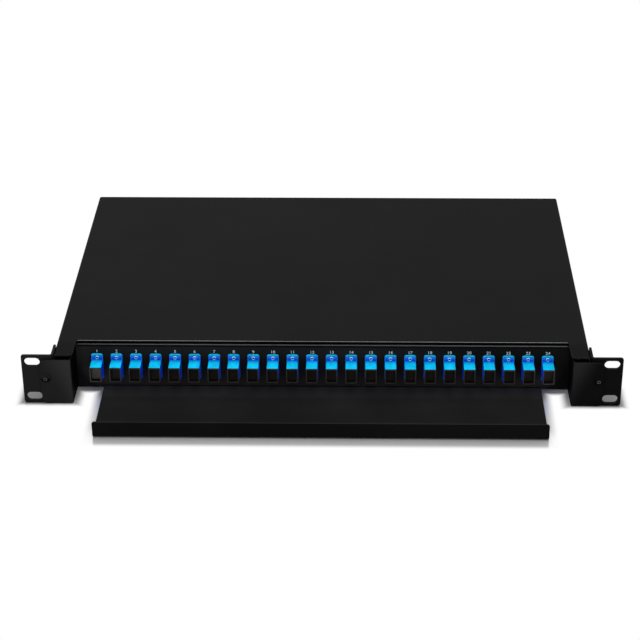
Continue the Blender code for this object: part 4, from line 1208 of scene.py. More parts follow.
@dataclass
class DrawerFront:
    """Wings, returns, port panel, shelf and lip, all folded from one sheet, with the printed numbers."""

    bottom: float = 0.0004
    top: float = 0.0406
    wing_tip: float = 0.2263
    wing_corner: float = 0.0040
    recess: float = 0.2012
    flange_half: float = 0.1996
    flange_back: float = PANEL_FACE + 0.0100
    shelf_half: float = 0.1795
    relief: float = 0.0006
    lip_front: float = RACK_FRONT - 0.0526
    lip_top: float = 0.0143
    lip_corner: float = 0.0022
    opening_width: float = 0.0099
    opening_height: float = 0.0136
    number_size: float = 0.0026 * 1.42
    number_spacing: float = 1.05
    number_level: float = 0.0329
    number_depth: float = 0.00003
    number_weight: float = 0.00006
    # Copies of the coat with painted light, shade or highlight, one for each zone.
    coats: ClassVar[dict[Zone, Finish]] = {
        Zone.LIP: COAT_LIP, Zone.RIM: COAT_HIGHLIGHT_RIM, Zone.CREST: COAT_CREST_HIGHLIGHT, Zone.PANEL: COAT_PANEL,
        Zone.SHELF: COAT_SHELF, Zone.WING_LEFT: COAT_WINGS[Side.LEFT],
        Zone.WING_RIGHT: COAT_WINGS[Side.RIGHT], Zone.RETURN: COAT_RETURN_SHADE, Zone.LIP_TOP: COAT_LIT_LIP_TOP}

    def build(self) -> None:
        """Makes the folded front and its numbers."""
        self.build_sheet()
        self.build_numbers()

    def build_sheet(self) -> None:
        """Panel with its openings, folded out into everything else."""
        panel = self.recess - INNER_BEND
        shelf_top = self.bottom + SHEET
        foot = shelf_top + INNER_BEND
        notch = foot + self.relief
        crest = self.top - OUTER_BEND
        outer, inner = self.shelf_half + self.relief, self.shelf_half
        form = Form().polygon(mirrored_points([
            (inner, foot), (inner, notch), (outer, notch), (outer, self.bottom), (panel, self.bottom),
            (panel, self.top), (self.flange_half, self.top), (self.flange_half, crest)]))
        for index in range(PORT_COUNT):
            form.patch((port_place(index), PORT_HEIGHT), self.opening_width, self.opening_height)
        form.stand(Facing.FRONT, PANEL_FACE)
        for side in Side:
            out = side.value
            edges = form.rim(lambda co: co.x * out > panel - WELD)
            corners = [(out * self.recess, PANEL_FACE, 0), (out * self.recess, WING_FACE, 0),
                       (out * self.wing_tip, WING_FACE, 0)]
            form.along(edges, UPRIGHT, corners, [INNER_BEND, OUTER_BEND])
        edges = form.rim(lambda co: abs(co.x) < inner + WELD and co.z < foot + WELD)
        corners = [(0, PANEL_FACE, shelf_top), (0, self.lip_front + SHEET, shelf_top),
                   (0, self.lip_front + SHEET, self.lip_top)]
        form.along(edges, ACROSS, corners, [INNER_BEND, INNER_BEND])
        edges = form.rim(lambda co: abs(co.x) < self.flange_half + WELD and abs(co.z - crest) < WELD)
        form.along(edges, ACROSS, [(0, PANEL_FACE, self.top), (0, self.flange_back, self.top)], [OUTER_BEND])
        form.thicken(-DEEP, SHEET)
        form.bevel(self.corners(form, self.wing_tip, (self.bottom, self.top)), self.wing_corner, BEND_STEPS)
        form.bevel(self.corners(form, self.shelf_half, (self.lip_top,)), self.lip_corner, BEND_STEPS)
        holes = [Form.drill((side.value * LATCH_SPACING / 2, WING_FACE, LATCH_HEIGHT), LATCH_HOLE, -THROUGH,
                            THROUGH, 32) for side in Side]
        form.combined("DIFFERENCE", *holes).soften(finish=Zone.RIM.value)
        # Each face takes its zone's copy of the coat, with painted light, shade or highlight.
        for face in form.work.faces:
            face.material_index = self.zone(face).value
        link_piece("front_sheet", form, "drawer", [self.coats[zone] for zone in Zone],
                   "drawer_front", even=True)

    def corners(self, form: Form, reach: float, levels: Sequence[float]) -> list[BMEdge]:
        """The edges through the sheet at its outer corners.

        Args:
            form: the sheet.
            reach: how far out the corners are.
            levels: their heights.

        Returns:
            The edges.
        """
        found = []
        for edge in form.work.edges:
            first, second = (vert.co for vert in edge.verts)
            through = abs(first.x - second.x) < WELD and abs(first.z - second.z) < WELD
            if (through and abs(abs(first.x) - reach) < WELD
                    and any(abs(first.z - level) < WELD for level in levels)):
                found.append(edge)
        return found

    def zone(self, face: BMFace) -> Zone:
        """The part of the sheet that a face belongs to, once its rims are marked, which picks its painted
        light or shade.

        Args:
            face: a face of the folded sheet.

        Returns:
            Its zone.
        """
        middle, normal = face.calc_center_median(), face.normal
        wing = Zone.WING_LEFT if middle.x < 0 else Zone.WING_RIGHT
        if self.is_top_fold(middle, normal):
            return Zone.CREST
        if face.material_index == Zone.RIM.value:
            return wing if abs(middle.x) > self.wing_tip - SHEET else Zone.RIM
        if normal.y < -SQUARE and abs(middle.y - PANEL_FACE) < WELD:
            return Zone.PANEL
        if normal.z > SQUARE and middle.z < self.lip_top:
            return Zone.SHELF
        if normal.y < -0.4 and abs(middle.x) > self.recess:
            return wing
        if abs(normal.x) > SQUARE and abs(middle.x) < self.recess + WELD:
            return Zone.RETURN
        if normal.z > SQUARE and middle.y < self.lip_front + SHEET and middle.z > self.lip_top - WELD:
            return Zone.LIP_TOP
        return Zone.LIP

    def is_top_fold(self, middle: Vector, normal: Vector) -> bool:
        """Whether a face is on the outer round of the panel's top fold, which takes a painted highlight."""
        return (0.70 < normal.z < 0.95 and normal.y < -0.15 and middle.z > self.top - OUTER_BEND - WELD
                and PANEL_FACE - WELD < middle.y < PANEL_FACE + OUTER_BEND)

    def build_numbers(self) -> None:
        """Port numbers 1 to 24, printed above the flanges."""
        form = Form()
        stand = Matrix.Rotation(RIGHT_ANGLE, 4, "X")
        for index in range(PORT_COUNT):
            curve = bpy.data.curves.new("number", "FONT")
            curve.body = str(index + 1)
            curve.size = self.number_size
            curve.align_x = "CENTER"
            curve.space_character = self.number_spacing
            curve.extrude = self.number_depth
            curve.offset = self.number_weight
            text = bpy.data.objects.new("number", curve)
            bpy.context.scene.collection.objects.link(text)
            graph = bpy.context.evaluated_depsgraph_get()
            mesh = bpy.data.meshes.new_from_object(text.evaluated_get(graph))
            place = (port_place(index), PANEL_FACE - self.number_depth / 2, self.number_level)
            mesh.transform(Matrix.Translation(place) @ stand)
            form.work.from_mesh(mesh)
            bpy.data.curves.remove(curve)
            bpy.data.meshes.remove(mesh)
        link_piece("port_numbers", form.weld(), "drawer", [INK])


def port_place(index: int) -> float:
    """The x of a port, counted from 0 at the left."""
    return (index - (PORT_COUNT - 1) / 2) * PORT_PITCH


@dataclass
class DrawerTray:
    """The tray behind the panel: floor, sides, front flange and notched rear wall."""

    half: float = 0.2024
    under: float = 0.0024
    side_top: float = 0.0360
    front: float = PANEL_FACE + 0.0015
    rear: float = 0.1270
    corner_gap: float = 0.0030
    front_top: float = 0.0110
    rear_top: float = 0.0220
    notch_half: float = 0.0170
    notch_depth: float = 0.0130
    notch_corner: float = 0.0025
    slot_length: float = 0.0160
    slot_width: float = 0.0036
    slot_pitch: float = 0.0420
    slot_row: float = RACK_FRONT + 0.0620

    def build(self) -> None:
        """Makes the tray in one folded sheet."""
        edge = self.half - OUTER_BEND
        wall = self.half - SHEET - self.corner_gap
        form = Form().polygon(mirrored_points([
            (wall, self.front + OUTER_BEND), (wall, self.front), (edge, self.front), (edge, self.rear),
            (wall, self.rear), (wall, self.rear - OUTER_BEND)]))
        count = round((2 * wall - self.slot_pitch) / self.slot_pitch)
        for index in range(count):
            middle = (index - (count - 1) / 2) * self.slot_pitch
            form.patch((middle, self.slot_row), self.slot_length, self.slot_width,
                       self.slot_width / 2 - WELD, 5)
        form.stand(Facing.UP, self.under).fold_sides(self.half, self.under, self.side_top)
        for place, level, inward in ((self.front, self.front_top, OUTER_BEND),
                                     (self.rear, self.rear_top, -OUTER_BEND)):
            line = place + inward
            edges = form.rim(lambda co: abs(co.y - line) < WELD and abs(co.x) < wall + WELD
                             and co.z < self.under + WELD)
            form.along(edges, ACROSS, [(0, place, self.under), (0, place, level)], [OUTER_BEND])
        form.thicken(-UPRIGHT, SHEET)
        cuts = []
        for side in Side:
            middle = side.value * ENTRY_HALF
            cut = Form().rectangle(middle - self.notch_half, middle + self.notch_half,
                                   self.rear_top - self.notch_depth, self.rear_top + THROUGH,
                                   self.notch_corner)
            cuts.append(cut.stand(Facing.FRONT, self.rear - THROUGH).push(Facing.FRONT, 2 * THROUGH))
        # The bevelled rims take a painted highlight (finish 1).
        form.combined("DIFFERENCE", *cuts).soften(finish=1)
        link_piece("tray_sheet", form, "drawer", [COAT_INSIDE, COAT_HIGHLIGHT_RIM], "drawer_tray",
                   even=True)


@dataclass
class Ports:
    """24 port adapters, each a flanged blue shell with eyelets and a black dust cap at each end."""

    width: float = 0.0093
    height: float = 0.0130
    front: float = PANEL_FACE - 0.0152
    rear: float = PANEL_FACE + 0.0130
    corner: float = 0.0007
    edge: float = 0.00014
    mouth_wall: float = 0.0005
    mouth_depth: float = 0.0046
    flange_width: float = 0.0098
    flange_height: float = 0.0234
    flange_sheet: float = 0.0020
    flange_corner: float = 0.0019
    flange_edge: float = 0.0009
    seat: float = PANEL_FACE - PIECE_GAP - 0.0020
    counterbore: float = 0.0048
    counterbore_depth: float = 0.0003
    counterbore_taper: float = 0.0004
    hole: float = 0.0022
    hole_offset: float = 0.0083
    cap_proud: float = 0.0010
    rear_cap_proud: float = 0.0006
    cap_step: float = -0.00005
    cap_rim: float = 0.00085
    cap_depth: float = 0.0042
    cap_corner: float = 0.0003
    cap_edge: float = 0.00012
    cap_lift: float = 0.00005
    plug_play: float = 0.0005
    plug_lead: float = 0.0002
    paint_margin: float = 0.0002
    plug_end_play: float = 0.0001
    eyelet: float = 0.0034
    eyelet_bore: float = 0.0016
    eyelet_wall: float = 0.00022
    eyelet_proud: float = 0.00035
    eyelet_end_play: float = 0.0004
    core_setback: float = 0.0009
    core_play: float = 0.00005

    def build(self) -> None:
        """Makes one of each mesh, and sets a copy of each at every port."""
        shell, eyelets = self.shell(), self.eyelets()
        cap = self.cap(-DEEP, self.front, self.cap_proud)
        rear_cap = self.cap(DEEP, self.rear, self.rear_cap_proud)
        for index in range(PORT_COUNT):
            number = f"{index + 1:02d}"
            place = Matrix.Translation((port_place(index), 0, PORT_HEIGHT))
            # Port 1's cap floor takes the brightest painted light; the others a dimmer painted light.
            floor = NYLON_LIT_FLOOR if index else NYLON_BRIGHT_LIT_FLOOR
            for title, source, finishes, slot, node in (
                    ("port_shell_", shell, [BLUE, BLUE_LIT_TOP, BLUE_HIGHLIGHT_RIM], "blue_plastic", f"adapter_{number}"),
                    ("front_cap_", cap, [NYLON, NYLON_HIGHLIGHT_RIM, floor], "black_nylon", None),
                    ("rear_cap_", rear_cap, [NYLON, NYLON_HIGHLIGHT_RIM, NYLON_LIT_FLOOR], "black_nylon", None),
                    ("eyelets_", eyelets, [EYELET_PLATE, BLUE_BORE_SHADE], "zinc_steel", None)):
                mesh = source.copy()
                mesh.name = title + number
                mesh.transform(place)
                link_piece(title + number, mesh, "drawer", finishes, node, even=True)
        for source in (shell, cap, rear_cap, eyelets):
            bpy.data.meshes.remove(source)

    def shell(self) -> bpy.types.Mesh:
        """Body with an open mouth at each end, and its flange.

        Returns:
            The shell's mesh, about the port's axis.
        """
        body = Form.bar(self.width, self.height, self.corner, 3, self.front, self.rear)
        for facing in (-DEEP, DEEP):
            body.pocket(facing, self.mouth_wall, self.mouth_depth)
        # Bevelled edges of body and flange take a painted highlight (finish 2).
        body.soften(self.edge, 2, 60.0, finish=2)
        flange = Form.bar(self.flange_width, self.flange_height, self.flange_corner, 5, self.seat,
                          self.seat + self.flange_sheet)
        flange.soften(self.flange_edge, 4, 60.0, finish=2)
        wide, narrow, floor = self.counterbore / 2, self.hole / 2, self.counterbore_depth
        profile = [(0, -OVERRUN), (wide, -OVERRUN), (wide - self.counterbore_taper, floor), (narrow, floor),
                   (narrow, THROUGH), (0, THROUGH)]
        cuts = [Form.turned(profile, DEEP, (0, self.seat, end * self.hole_offset), 24, ring=False)
                for end in ENDS]
        flange.combined("DIFFERENCE", *cuts).combined("UNION", body)
        # Upward faces take the lighter copy of the plastic: painted light on the tops (finish 1).
        return flange.paint(1, lambda face: face.normal.z > 0.35).mesh("shell")

    def cap(self, facing: Vector, mouth: float, proud: float) -> bpy.types.Mesh:
        """A dust cap: a plug in the shell's mouth with a sunk face.

        Args:
            facing: the way out of the mouth.
            mouth: the mouth's place.
            proud: how far the cap stands out of it.

        Returns:
            The cap's mesh.
        """
        out = facing.y
        width, height = self.width - 2 * self.cap_step, self.height - 2 * self.cap_step
        face, back = mouth + out * proud, mouth - out * (self.mouth_depth - self.plug_end_play)
        head = Form.bar(width, height, self.corner, 3, mouth + out * self.cap_lift, face)
        plug = Form.bar(width - 2 * self.plug_play, height - 2 * self.plug_play, self.cap_corner, 2,
                        mouth + out * self.plug_lead, back)
        sunk = Form.bar(width - 2 * self.cap_rim, height - 2 * self.cap_rim, self.cap_corner, 2,
                        face + out * OVERRUN, face - out * self.cap_depth)
        head.combined("UNION", plug).combined("DIFFERENCE", sunk).soften(self.cap_edge, 2, 60.0)
        margin = self.paint_margin
        rim, floor = face * out - margin, face * out - self.cap_depth + margin
        # The front rim takes a painted highlight (finish 1) and the sunk floor painted light (finish 2).
        head.paint(1, lambda item: item.calc_center_median().y * out > rim and abs(item.normal.y) > 0.3)
        head.paint(2, lambda item: item.normal.y * out > SQUARE and item.calc_center_median().y * out < floor)
        return head.mesh("cap")

    def eyelets(self) -> bpy.types.Mesh:
        """The two rolled eyelets of a flange, each round a dark disc that paints the shade inside its bore.

        Returns:
            The eyelets' mesh, about the port's axis.
        """
        outer, bore, proud = self.eyelet / 2, self.eyelet_bore / 2, self.eyelet_proud
        tube, far = bore + self.eyelet_wall, self.flange_sheet - self.eyelet_end_play
        profile = [(bore, far), (bore, -proud * 0.4), ((bore + tube) / 2, -proud * 0.9),
                   ((outer + bore) / 2, -proud), (outer - 0.0002, -proud * 0.75), (outer, -proud * 0.25),
                   (outer - 0.0001, 0.0), (tube, 0.0), (tube, far)]
        reach, near = bore - self.core_play, self.core_setback
        core = [(0, far), (0, near), (reach, near), (reach, far)]
        form = Form()
        for end in ENDS:
            place = (0, self.seat + self.counterbore_depth, end * self.hole_offset)
            # The disc in the bore is painted shade (finish 1).
            disc = Form.turned(core, DEEP, place, 16, ring=False).paint(1)
            form.joined(Form.turned(profile, DEEP, place, 24), disc)
        return form.mesh("eyelets", 70.0)


@dataclass
class Latches:
    """Push-pull latches: a split collar in each wing and the plunger in it."""

    head: float = 0.0080
    head_depth: float = 0.0010
    barrel: float = 0.0050
    bore: float = 0.0030
    reach: float = 0.0062
    slit: float = 0.0008
    bead: float = 0.0001
    knob: float = 0.0034
    knob_depth: float = 0.0008
    stem: float = 0.0022
    dimple: float = 0.0016
    dimple_depth: float = 0.0004
    lead: float = 0.0004

    def build(self) -> None:
        """Makes both collars and plungers."""
        for side in Side:
            place = Vector((side.value * LATCH_SPACING / 2, WING_FACE, LATCH_HEIGHT))
            # The collar's crown carries painted shade on its lower half and the wing's coat, with its painted
            # light, on its upper half.
            link_piece(f"latch_collar_{side.word}", self.collar(place), "drawer",
                       [NYLON, NYLON_SHADE, COAT_WINGS[side]], f"latch_grommet_{side.word}")
            link_piece(f"latch_pin_{side.word}", self.pin(place), f"latch_{side.word}", [NYLON, NYLON_HIGHLIGHT_RIM],
                       f"latch_plunger_{side.word}")

    def collar(self, place: Vector) -> Form:
        """A domed collar whose barrel is split four ways behind the wing.

        Args:
            place: where its axis meets the wing.

        Returns:
            The collar.
        """
        rim, barrel, bore = self.head / 2, self.barrel / 2, self.bore / 2
        seat = -PIECE_GAP
        crown = seat - self.head_depth
        profile = [(bore, crown + 0.0002), (bore + 0.0003, crown), (bore + 0.0010, crown + 0.00008),
                   (rim - 0.0009, crown + 0.00032), (rim - 0.0003, crown + 0.0006), (rim, seat - 0.0001),
                   (rim, seat), (barrel, seat), (barrel, 0.0024), (barrel + self.bead, 0.0030),
                   (barrel - self.lead, self.reach), (bore, self.reach)]
        form = Form.turned(profile, DEEP, place, 48)
        start, end = SHEET + PIECE_GAP, self.reach + OVERRUN
        form.combined("DIFFERENCE", *(
            Form.block(place + Vector((-wide, start, -high)), place + Vector((wide, end, high)))
            for wide, high in ((rim, self.slit / 2), (self.slit / 2, rim))))
        # Painted shade on the crown's lower half (finish 1); the upper half takes the wing's coat with its
        # painted light (finish 2).
        front = place.y + seat - WELD
        form.paint(1, lambda face: face.calc_center_median().y < front and face.normal.z < 0)
        return form.paint(2, lambda face: face.calc_center_median().y < front and face.normal.z >= 0)

    def pin(self, place: Vector) -> Form:
        """A stem with a dimpled knob, on the collar's face.

        Args:
            place: where its axis meets the wing.

        Returns:
            The plunger.
        """
        knob, stem, dimple = self.knob / 2, self.stem / 2, self.dimple / 2
        back = -PIECE_GAP - self.head_depth - PIECE_GAP
        face = back - self.knob_depth
        profile = [(0, face + self.dimple_depth), (dimple * 0.7, face + self.dimple_depth * 0.8),
                   (dimple, face + 0.0001), (dimple + 0.0002, face), (knob - 0.0004, face),
                   (knob - 0.0001, face + 0.0002), (knob, face + 0.0004), (knob, back - 0.0001),
                   (knob - 0.0001, back), (stem, back), (stem, self.reach - self.lead),
                   (stem - self.lead, self.reach), (0, self.reach)]
        form = Form.turned(profile, DEEP, place, 40, ring=False)
        # The knob's face round the dimple takes a painted highlight ring (finish 1).
        front = place.y + face + 0.0003
        return form.paint(1, lambda item: item.calc_center_median().y < front
                          and (item.calc_center_median() - place).xz.length > dimple)


@dataclass
class Slides:
    """Three-part ball slides, one each side: nested rails, ball cages, and the fixings of the rails."""

    front: float = RACK_FRONT + 0.0025
    rear: float = 0.1175
    level: float = 0.0205
    sheet: float = 0.0010
    bend: float = 0.0006
    edge: float = 0.00018
    outer_web: float = 0.2130
    middle_web: float = 0.2110
    inner_web: float = 0.2032
    outer_z: float = 0.0130
    middle_z: float = 0.0094
    inner_z: float = 0.0058
    outer_tip: float = 0.2049
    middle_tip: float = 0.2042
    inner_tip: float = 0.2090
    lip: float = 0.0012
    ball: float = 0.0022
    balls: int = 5
    ball_pitch: float = 0.0180
    ball_setback: float = 0.0031
    cage_front: float = RACK_FRONT + 0.0620
    cage_margin: float = 0.0080
    cage_sheet: float = 0.0004
    cage_reach: float = 0.0056
    cage_edge: float = 0.0001
    window: float = 0.0090
    window_share: float = 0.90
    window_corner: float = 0.0015
    rivet_head: float = 0.0060
    rivet_height: float = 0.0004
    rivet_places: ClassVar[tuple[float, ...]] = (0.0450, 0.1050)
    screw_head: float = 0.0056
    screw_height: float = 0.0014
    screw_places: ClassVar[tuple[float, ...]] = (-0.1180, -0.0300, 0.0900)

    def build(self) -> None:
        """Makes the rails, cages and fixings of both slides."""
        half = self.sheet / 2
        tip, lip = self.outer_tip - half, self.outer_z - self.lip - half
        web, flange = self.outer_web + half, self.outer_z + half
        outer = [(tip, lip), (tip, flange), (web, flange)]
        middle = [(self.middle_tip, self.middle_z + half), (self.middle_web + half, self.middle_z + half)]
        inner = [(self.inner_tip, self.inner_z + half), (self.inner_web - half, self.inner_z + half)]
        for side in Side:
            for part, path, outside, body in (
                    ("outer", outer, -ACROSS, "chassis"), ("inner", inner, UPRIGHT, "drawer"),
                    ("middle", middle, UPRIGHT, f"middle_slide_{side.word}")):
                link_piece(f"slide_{part}_{side.word}", self.rail(path, outside).mirrored(side), body, [ZINC],
                           f"{part}_rail_{side.word}", even=True)
            self.build_cage("outer", side, (self.outer_web + self.middle_web) / 2,
                            (self.outer_z + self.middle_z) / 2)
            self.build_cage("inner", side, (self.middle_web - half + self.inner_tip) / 2,
                            (self.middle_z + self.inner_z) / 2)
            self.build_fixings(side)

    def rail(self, path: Points, outside: Vector) -> Form:
        """A rolled rail.

        Args:
            path: x and height of its outer surface's corners above the slide's middle, from the edge in.
            outside: the way that the surface looks at its edge.

        Returns:
            The rail, for the right side.
        """
        section = [(x, self.level + z) for x, z in [*path, *((x, -z) for x, z in reversed(path))]]
        radii = [self.bend + self.sheet] * (len(section) - 2)
        form = Form.strip(section, self.front, self.rear, radii)
        return form.thicken(outside, self.sheet).soften(self.edge)

    def build_cage(self, row: str, side: Side, back: float, race: float) -> None:
        """A thin steel channel with a row of balls in each flange.

        Args:
            row: "outer" or "inner".
            side: the cage's side.
            back: the x of its web.
            race: the height of its flanges, from the slide's middle.
        """
        sheet = self.cage_sheet / 2
        front = self.cage_front
        end = front + (self.balls - 1) * self.ball_pitch + 2 * self.cage_margin
        form = Form.block((back - self.cage_reach, front, self.level - race - sheet),
                          (back + sheet, end, self.level + race + sheet))
        hollow = Form.block((back - self.cage_reach - OVERRUN, front - OVERRUN, self.level - race + sheet),
                            (back - sheet, end + OVERRUN, self.level + race - sheet))
        windows = []
        for index in range(self.balls - 1):
            middle = front + self.cage_margin + (index + 0.5) * self.ball_pitch
            opening = Form().patch((middle, self.level), self.window, race * self.window_share,
                                   self.window_corner, 4)
            windows.append(opening.stand(Facing.RIGHT, back + OVERRUN).push(Facing.RIGHT, 2 * OVERRUN))
        form.combined("DIFFERENCE", hollow, *windows).soften(self.cage_edge, 1)
        for level in (-race, race):
            for index in range(self.balls):
                place = (back - self.ball_setback, front + self.cage_margin + index * self.ball_pitch,
                         self.level + level)
                ball = Form()
                bmesh.ops.create_uvsphere(ball.work, u_segments=20, v_segments=12, radius=self.ball / 2,
                                          matrix=Matrix.Translation(place))
                form.joined(ball.paint(1))
        link_piece(f"{row}_cage_{side.word}", form.mirrored(side), f"{row}_balls_{side.word}",
                   [CAGE_STEEL, BALL_STEEL], f"{row}_ball_cage_{side.word}")

    def build_fixings(self, side: Side) -> None:
        """Low rivets of the outer rail and screws of the inner one.

        Args:
            side: the slide's side.
        """
        half = self.sheet / 2
        seats = [(self.outer_web - half, place, self.level) for place in self.rivet_places]
        rivets = fixings(Head.DOME, seats, -ACROSS, self.rivet_head, self.rivet_height)
        seats = [(self.inner_web + half, place, self.level) for place in self.screw_places]
        screws = fixings(Head.PAN, seats, ACROSS, self.screw_head, self.screw_height)
        for title, form, body in (("rail_rivets_", rivets, "chassis"), ("rail_screws_", screws, "drawer")):
            link_piece(title + side.word, form.mirrored(side), body, [ZINC_SCREW])


@dataclass
class SpliceTray:
    """The splice tray with its two winding hubs, the comb between them and the smoke-clear lid."""

    base: float = TRAY_TOP + PIECE_GAP
    half_x: float = 0.0850
    half_y: float = 0.0550
    centre: float = 0.0300
    height: float = 0.0110
    wall: float = 0.0018
    floor: float = 0.0016
    corner: float = 0.0120
    edge: float = 0.0003
    hub: float = 0.0440
    hub_wall: float = 0.0016
    hub_half: float = 0.0530
    door: float = 0.0140
    keeper_place: float = 0.0300
    keeper_inset: float = 0.0030
    keeper_width: float = 0.0100
    keeper_reach: float = 0.0070
    keeper_sheet: float = 0.0010
    keeper_corner: float = 0.0012
    keeper_edge: float = 0.0002
    lid_sheet: float = 0.0014
    lid_rim: float = 0.0060
    lid_relief: float = 0.0004
    lid_edge: float = 0.00025
    tab_half: float = 0.0280
    tab_width: float = 0.0120
    tab_depth: float = 0.0050
    tab_sheet: float = 0.0016
    tab_inset: float = 0.0003
    comb_pitch: float = 0.0034
    comb_slot: float = 0.0018
    comb_slots: int = 12
    comb_base: float = 0.0012
    comb_height: float = 0.0060
    comb_half: float = 0.0150
    comb_edge: float = 0.00015

    def build(self) -> None:
        """Makes the tray, the comb and the lid."""
        self.build_tray()
        self.build_comb()
        self.build_lid()

    def outline(self, margin: float) -> Form:
        """The tray's rounded outline, drawn a margin further in."""
        return Form().patch((0.0, self.centre), 2 * (self.half_x - margin), 2 * (self.half_y - margin),
                            self.corner - margin, 8)

    def build_tray(self) -> None:
        """Floor, wall with four doorways, hubs and fibre-holding tabs."""
        top = self.base + self.height
        form = self.outline(0.0).stand(Facing.UP, top).push(Facing.UP, self.height)
        pocket = self.outline(self.wall)
        for end in ENDS:
            for diameter in (self.hub, self.hub - 2 * self.hub_wall):
                pocket.circle((end * self.hub_half, self.centre), diameter, 48)
        pocket.stand(Facing.UP, top + OVERRUN).push(Facing.UP, self.height - self.floor + OVERRUN)
        doors, keepers = [], []
        for end_x, end_y in QUARTERS:
            x = end_x * (self.half_x - self.corner - self.door / 2)
            y = self.centre + end_y * self.half_y
            doors.append(Form.block((x - self.door / 2, y - 2 * self.wall, self.base + self.floor),
                                    (x + self.door / 2, y + 2 * self.wall, top + OVERRUN)))
            inset = self.half_y - self.wall - self.keeper_inset
            place = (end_x * self.keeper_place, self.centre + end_y * inset)
            keeper = Form().patch(place, self.keeper_width, self.keeper_reach, self.keeper_corner, 4)
            keeper.stand(Facing.UP, top - self.keeper_edge).push(Facing.UP, self.keeper_sheet)
            keepers.append(keeper.soften(self.keeper_edge))
        form.combined("DIFFERENCE", pocket, *doors).soften(self.edge).combined("UNION", *keepers)
        link_piece("splice_tray_shell", form, "drawer", [TRAY_WHITE], "splice_tray",
                   even=True)

    def build_comb(self) -> None:
        """A block with a row of grooves, each for one splice sleeve."""
        tooth = self.comb_pitch - self.comb_slot
        length = self.comb_slots * self.comb_pitch + tooth
        level = self.base + self.floor + PIECE_GAP
        front, back = self.centre - self.comb_half, self.centre + self.comb_half
        form = Form.block((-length / 2, front, level), (length / 2, back, level + self.comb_height))
        cuts = []
        for index in range(self.comb_slots):
            left = -length / 2 + tooth + index * self.comb_pitch
            groove = Form().rectangle(left, left + self.comb_slot, level + self.comb_base,
                                      level + self.comb_height + THROUGH, self.comb_slot * 0.35, 4)
            cuts.append(groove.stand(Facing.FRONT, front - THROUGH).push(Facing.FRONT, back - front
                                                                         + 2 * THROUGH))
        form.combined("DIFFERENCE", *cuts).soften(self.comb_edge, 1)
        link_piece("sleeve_comb", form, "drawer", [NYLON], "splice_comb", even=True)

    def build_lid(self) -> None:
        """A thin lid with a shallow sunk panel and four snap hooks."""
        level = self.base + self.height + PIECE_GAP
        form = self.outline(0.0).stand(Facing.UP, level + self.lid_sheet).push(Facing.UP, self.lid_sheet)
        form.pocket(UPRIGHT, self.lid_rim, self.lid_relief).soften(self.lid_edge)
        near, hook = self.half_y - self.wall, self.half_y + PIECE_GAP
        low, high = self.tab_inset, self.lid_sheet - self.tab_inset
        far, deep = hook + self.tab_sheet, -self.tab_depth
        angle = [(near, low), (hook, low), (hook, deep), (far, deep), (far, high), (near, high)]
        hooks = []
        for end_x, end_y in QUARTERS:
            points = [(self.centre + end_y * y, level + z) for y, z in angle]
            outline = Form().polygon(points, [0, 0, 0, 0.0005, 0.0006, 0], 3)
            place = end_x * self.tab_half + self.tab_width / 2
            hooks.append(outline.stand(Facing.RIGHT, place).push(Facing.RIGHT, self.tab_width))
        form.combined("UNION", *hooks)
        link_piece("splice_lid", form, "drawer", [LID_SMOKE], "splice_tray_lid", even=True)


@dataclass
class Spools:
    """Two drums for spare fibre, each with a flange below and four fingers above."""

    place: float = 0.1431
    centre: float = 0.0150
    base: float = TRAY_TOP + PIECE_GAP
    hub: float = 0.0540
    wall: float = 0.0018
    flange: float = 0.0720
    sheet: float = 0.0016
    height: float = 0.0200
    finger: float = 0.0160
    step: float = 0.0005
    edge: float = 0.0003

    def build(self) -> None:
        """Makes both spools."""
        hub, flange, inside = self.hub / 2, self.flange / 2, self.hub / 2 - self.wall
        top, under = self.height, self.height - self.sheet
        profile = [(inside, top), (flange, top), (flange, under), (hub, under), (hub, self.sheet),
                   (flange, self.sheet), (flange, 0), (inside, 0)]
        for side in Side:
            form = Form.turned(profile, UPRIGHT, (0, 0, 0), 96)
            form.combined("DIFFERENCE", *(self.window(quarter * RIGHT_ANGLE) for quarter in range(4)))
            form.soften(self.edge).shift((side.value * self.place, self.centre, self.base))
            link_piece(f"spool_{side.word}", form, "drawer", [NYLON, NYLON_HIGHLIGHT_RIM],
                       f"fibre_spool_{side.word}", even=True)

    def window(self, start: float) -> Form:
        """A cutter for the gap between two fingers.

        Args:
            start: the direction of the first finger, as an angle.

        Returns:
            A quarter of a ring, short of both fingers.
        """
        near, reach = self.hub / 2 + self.step, self.flange / 2 + 2 * OVERRUN
        low, high = self.height - self.sheet - OVERRUN, self.height + OVERRUN
        ring = Form.turned([(near, low), (reach, low), (reach, high), (near, high)], UPRIGHT, (0, 0, 0), 96)
        for angle in (start, RIGHT_ANGLE + start):
            normal = Vector((math.cos(angle), math.sin(angle), 0))
            bmesh.ops.bisect_plane(ring.work, geom=ring.bits, dist=WELD, plane_co=normal * self.finger / 2,
                                   plane_no=normal, clear_inner=True)
            bmesh.ops.holes_fill(ring.work, edges=[edge for edge in ring.work.edges if edge.is_boundary])
        return ring.outward()


